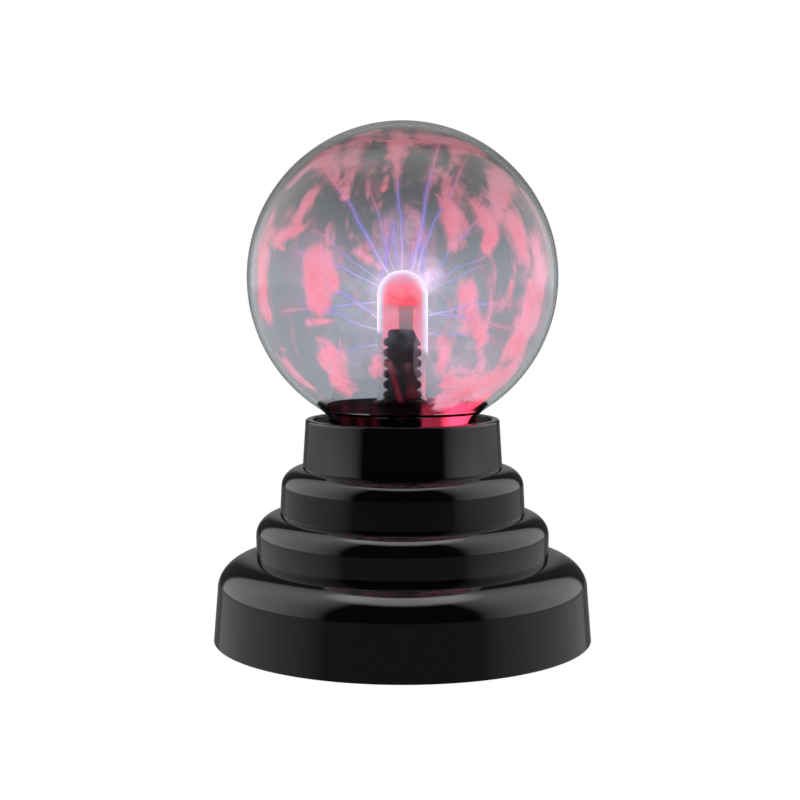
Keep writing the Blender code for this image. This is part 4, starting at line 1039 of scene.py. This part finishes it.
# each: name, centre, half sizes, colour, strength, power and most
TUFTS = [
    ("violet_haze", (0, 1, 89), (25, 15, 15), (0.85, 0.86, 1.0), 1.5, 3.5, 0.24),
    ("dome_haze", (0, 0, 101), (10, 8, 13), (1.0, 0.6, 0.86), 1.6, 3.5, 0.42),
    ("dome_tuft_right", (6.6, -1.5, 95.0), (5.4, 4.6, 6.0), (1.0, 0.7, 0.92), 2.2, 5.0, 0.8),
    ("dome_tuft_left", (-6.2, -1, 91.0), (4.0, 4, 5.4), (0.95, 0.7, 0.95), 1.8, 5.0, 0.5),
    ("wall_tuft_left", (-21, -12, 97), (9, 8, 11), (1.0, 0.6, 0.85), 1.5, 3.5, 0.3),
    ("foot_haze_right", (13, 5, 74), (15, 11, 12), (1.0, 0.7, 0.86), 1.5, 3.5, 0.32),
    ("foot_haze_left", (-14, 5, 76), (13, 11, 11), (0.95, 0.78, 0.95), 1.4, 3.5, 0.2),
]
up, about = np.meshgrid(
    np.linspace(-np.pi / 2, np.pi / 2, 33), np.linspace(0, 2 * np.pi, 48, endpoint=False),
    indexing="ij",
)
ball = np.stack([np.cos(up) * np.cos(about), np.cos(up) * np.sin(about), np.sin(up)], axis=-1)
for name, centre, half, colour, strength, power, most in TUFTS:
    soft, _ = glowing(name, colour, strength, lambda material: tuft(material, power, most))
    points = ball * np.array(half) + np.array(centre)
    piece = sheet_of_points(name, points * MM, soft, False, True, 180)
    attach(piece, "base")

# a painted reflection: the discharge mirrored in the dark floor of the flare, drawn as a red glowing sheet
# down the neck
painted_neck_reflection_light, _ = glowing("painted_neck_reflection_light", (1.0, 0.06, 0.13), 4.6, as_carried)
above_funnel, last_turn = 61.9, 112
tall = np.linspace(65.0, 55.6, 44)[:, None]
turn = np.radians(np.linspace(-90, last_turn, 140))[None, :]
from_funnel = np.sqrt(np.maximum((FUNNEL + WALL) ** 2 - (tall - FUNNEL_Z) ** 2, 0))
from_ball = np.sqrt(np.maximum(REACH**2 - (BALL_Z - tall) ** 2, 0)) - 0.2
radius = np.where(tall > above_funnel, from_ball, FUNNEL_R - from_funnel - 0.15)
aside = radius * np.sin(turn)
# the painted reflection stands bright on the neck's right side and is nearly out on its left
points = np.stack([aside, -radius * np.cos(turn), tall * np.ones_like(turn)], axis=-1)
right = np.clip((aside - 4.4) / 0.4, 0, 1) * (0.12 + 0.84 * np.clip((aside - 9.0) / 3.0, 0, 1))
right = right * np.clip((np.radians(last_turn) - turn) / np.radians(45), 0, 1) ** 0.6
left = 0.012 * np.clip((-aside - 5.5) / 1.0, 0, 1) * (0.5 + 0.5 * np.sin(aside * 1.7))
fade = (right + left) * np.clip((65.0 - tall) / 2.0, 0, 1)
painted_neck_reflection_sheet = sheet_of_points(
    "painted_neck_reflection_sheet", points * MM, painted_neck_reflection_light, False, False, 80, {"fade": fade}
)
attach(painted_neck_reflection_sheet, "base")

# ---------------------------------------------------------------- studio
# A white seamless floor and backdrop. Only the gloss sees the panels: one on
# each side and one overhead. The front is dark, so the gloss black stays black.


def mirrored(owner):
    """One where light comes by way of a mirror and not through glass, else nought."""
    kind = add(owner, "LightPath").outputs
    return maths(owner, "SUBTRACT", kind["Is Glossy Ray"], kind["Is Transmission Ray"], clamp=True)


floor_finish = bpy.data.materials.new("floor_finish")
floor_finish.use_nodes = True
floor_finish.node_tree.nodes.clear()
below = add(floor_finish, "NewGeometry").outputs["Backfacing"]
hidden = maths(floor_finish, "MAXIMUM", mirrored(floor_finish), below)
white = add(floor_finish, "Emission", {"Color": (1, 1, 1, 1), "Strength": 1.0})
clear = add(floor_finish, "BsdfTransparent")
floor_mix = add(floor_finish, "MixShader", {0: hidden, 1: white.outputs[0], 2: clear.outputs[0]})
add(floor_finish, "OutputMaterial", {"Surface": floor_mix.outputs[0]})
floor_points = np.array([[[-3, -3, 0], [3, -3, 0]], [[-3, 3, 0], [3, 3, 0]]], float)
floor = sheet_of_points("floor", floor_points, floor_finish, False, False)

world = bpy.data.worlds.new("studio")
bpy.context.scene.world = world
world.use_nodes = True
world.node_tree.nodes.clear()


def grey(value):
    """A grey of one brightness."""
    return (value, value, value)


toward = add(world, "SeparateXYZ", {"Vector": add(world, "TexCoord").outputs["Generated"]}).outputs
front = maths(world, "MULTIPLY", toward["Y"], -1.0)
from_front = maths(world, "ABSOLUTE", maths(world, "ARCTAN2", toward["X"], front))
# each: degrees round from the front, and how bright it is there
SIDES = [
    (46.08, 0), (52.92, 0.27), (62, 0.5), (77, 0.72), (93, 0.86), (119, 0.78), (138, 0.52),
    (144, 0.4), (148, 0.03), (163, 0.03), (170, 0.13), (178, 0.13),
]
sides = ramp(
    world,
    ranged(world, from_front, 0.0, math.pi),
    *[(degrees / 180, grey(value)) for degrees, value in SIDES],
)
# each: height of the direction, from -0.5 to 1, and how much of the sides is left there
HEIGHTS = [(-0.32, 0.3), (-0.24, 0.4), (-0.08, 0.2), (-0.055, 0.5), (-0.025, 1.0), (0.9, 1.0), (0.985, 0.3)]
by_height = ramp(
    world,
    ranged(world, toward["Z"], -0.5, 1.0),
    *[((height + 0.5) / 1.5, grey(value)) for height, value in HEIGHTS],
)
side_light = maths(world, "MULTIPLY", sides, by_height)
overhead = ranged(world, toward["Z"], 0.87, 0.97, soft=True)
behind = ranged(world, toward["Y"], 0.1, 0.45, 3.2, 0.3, soft=True)
table_top = ranged(world, toward["Z"], -0.055, -0.075, 0.0, 0.13)
seen = maths(world, "MULTIPLY_ADD", side_light, 2.0, table_top)
seen = maths(world, "MULTIPLY_ADD", overhead, behind, seen)
choice = add(world, "Mix", {"Factor": mirrored(world), 2: 1.0, 3: seen}, data_type="FLOAT")
light = add(world, "Background", {"Color": (1, 1, 1, 1), "Strength": choice.outputs[0]})
add(world, "OutputWorld", {"Surface": light.outputs[0]})

low, high = cad_box
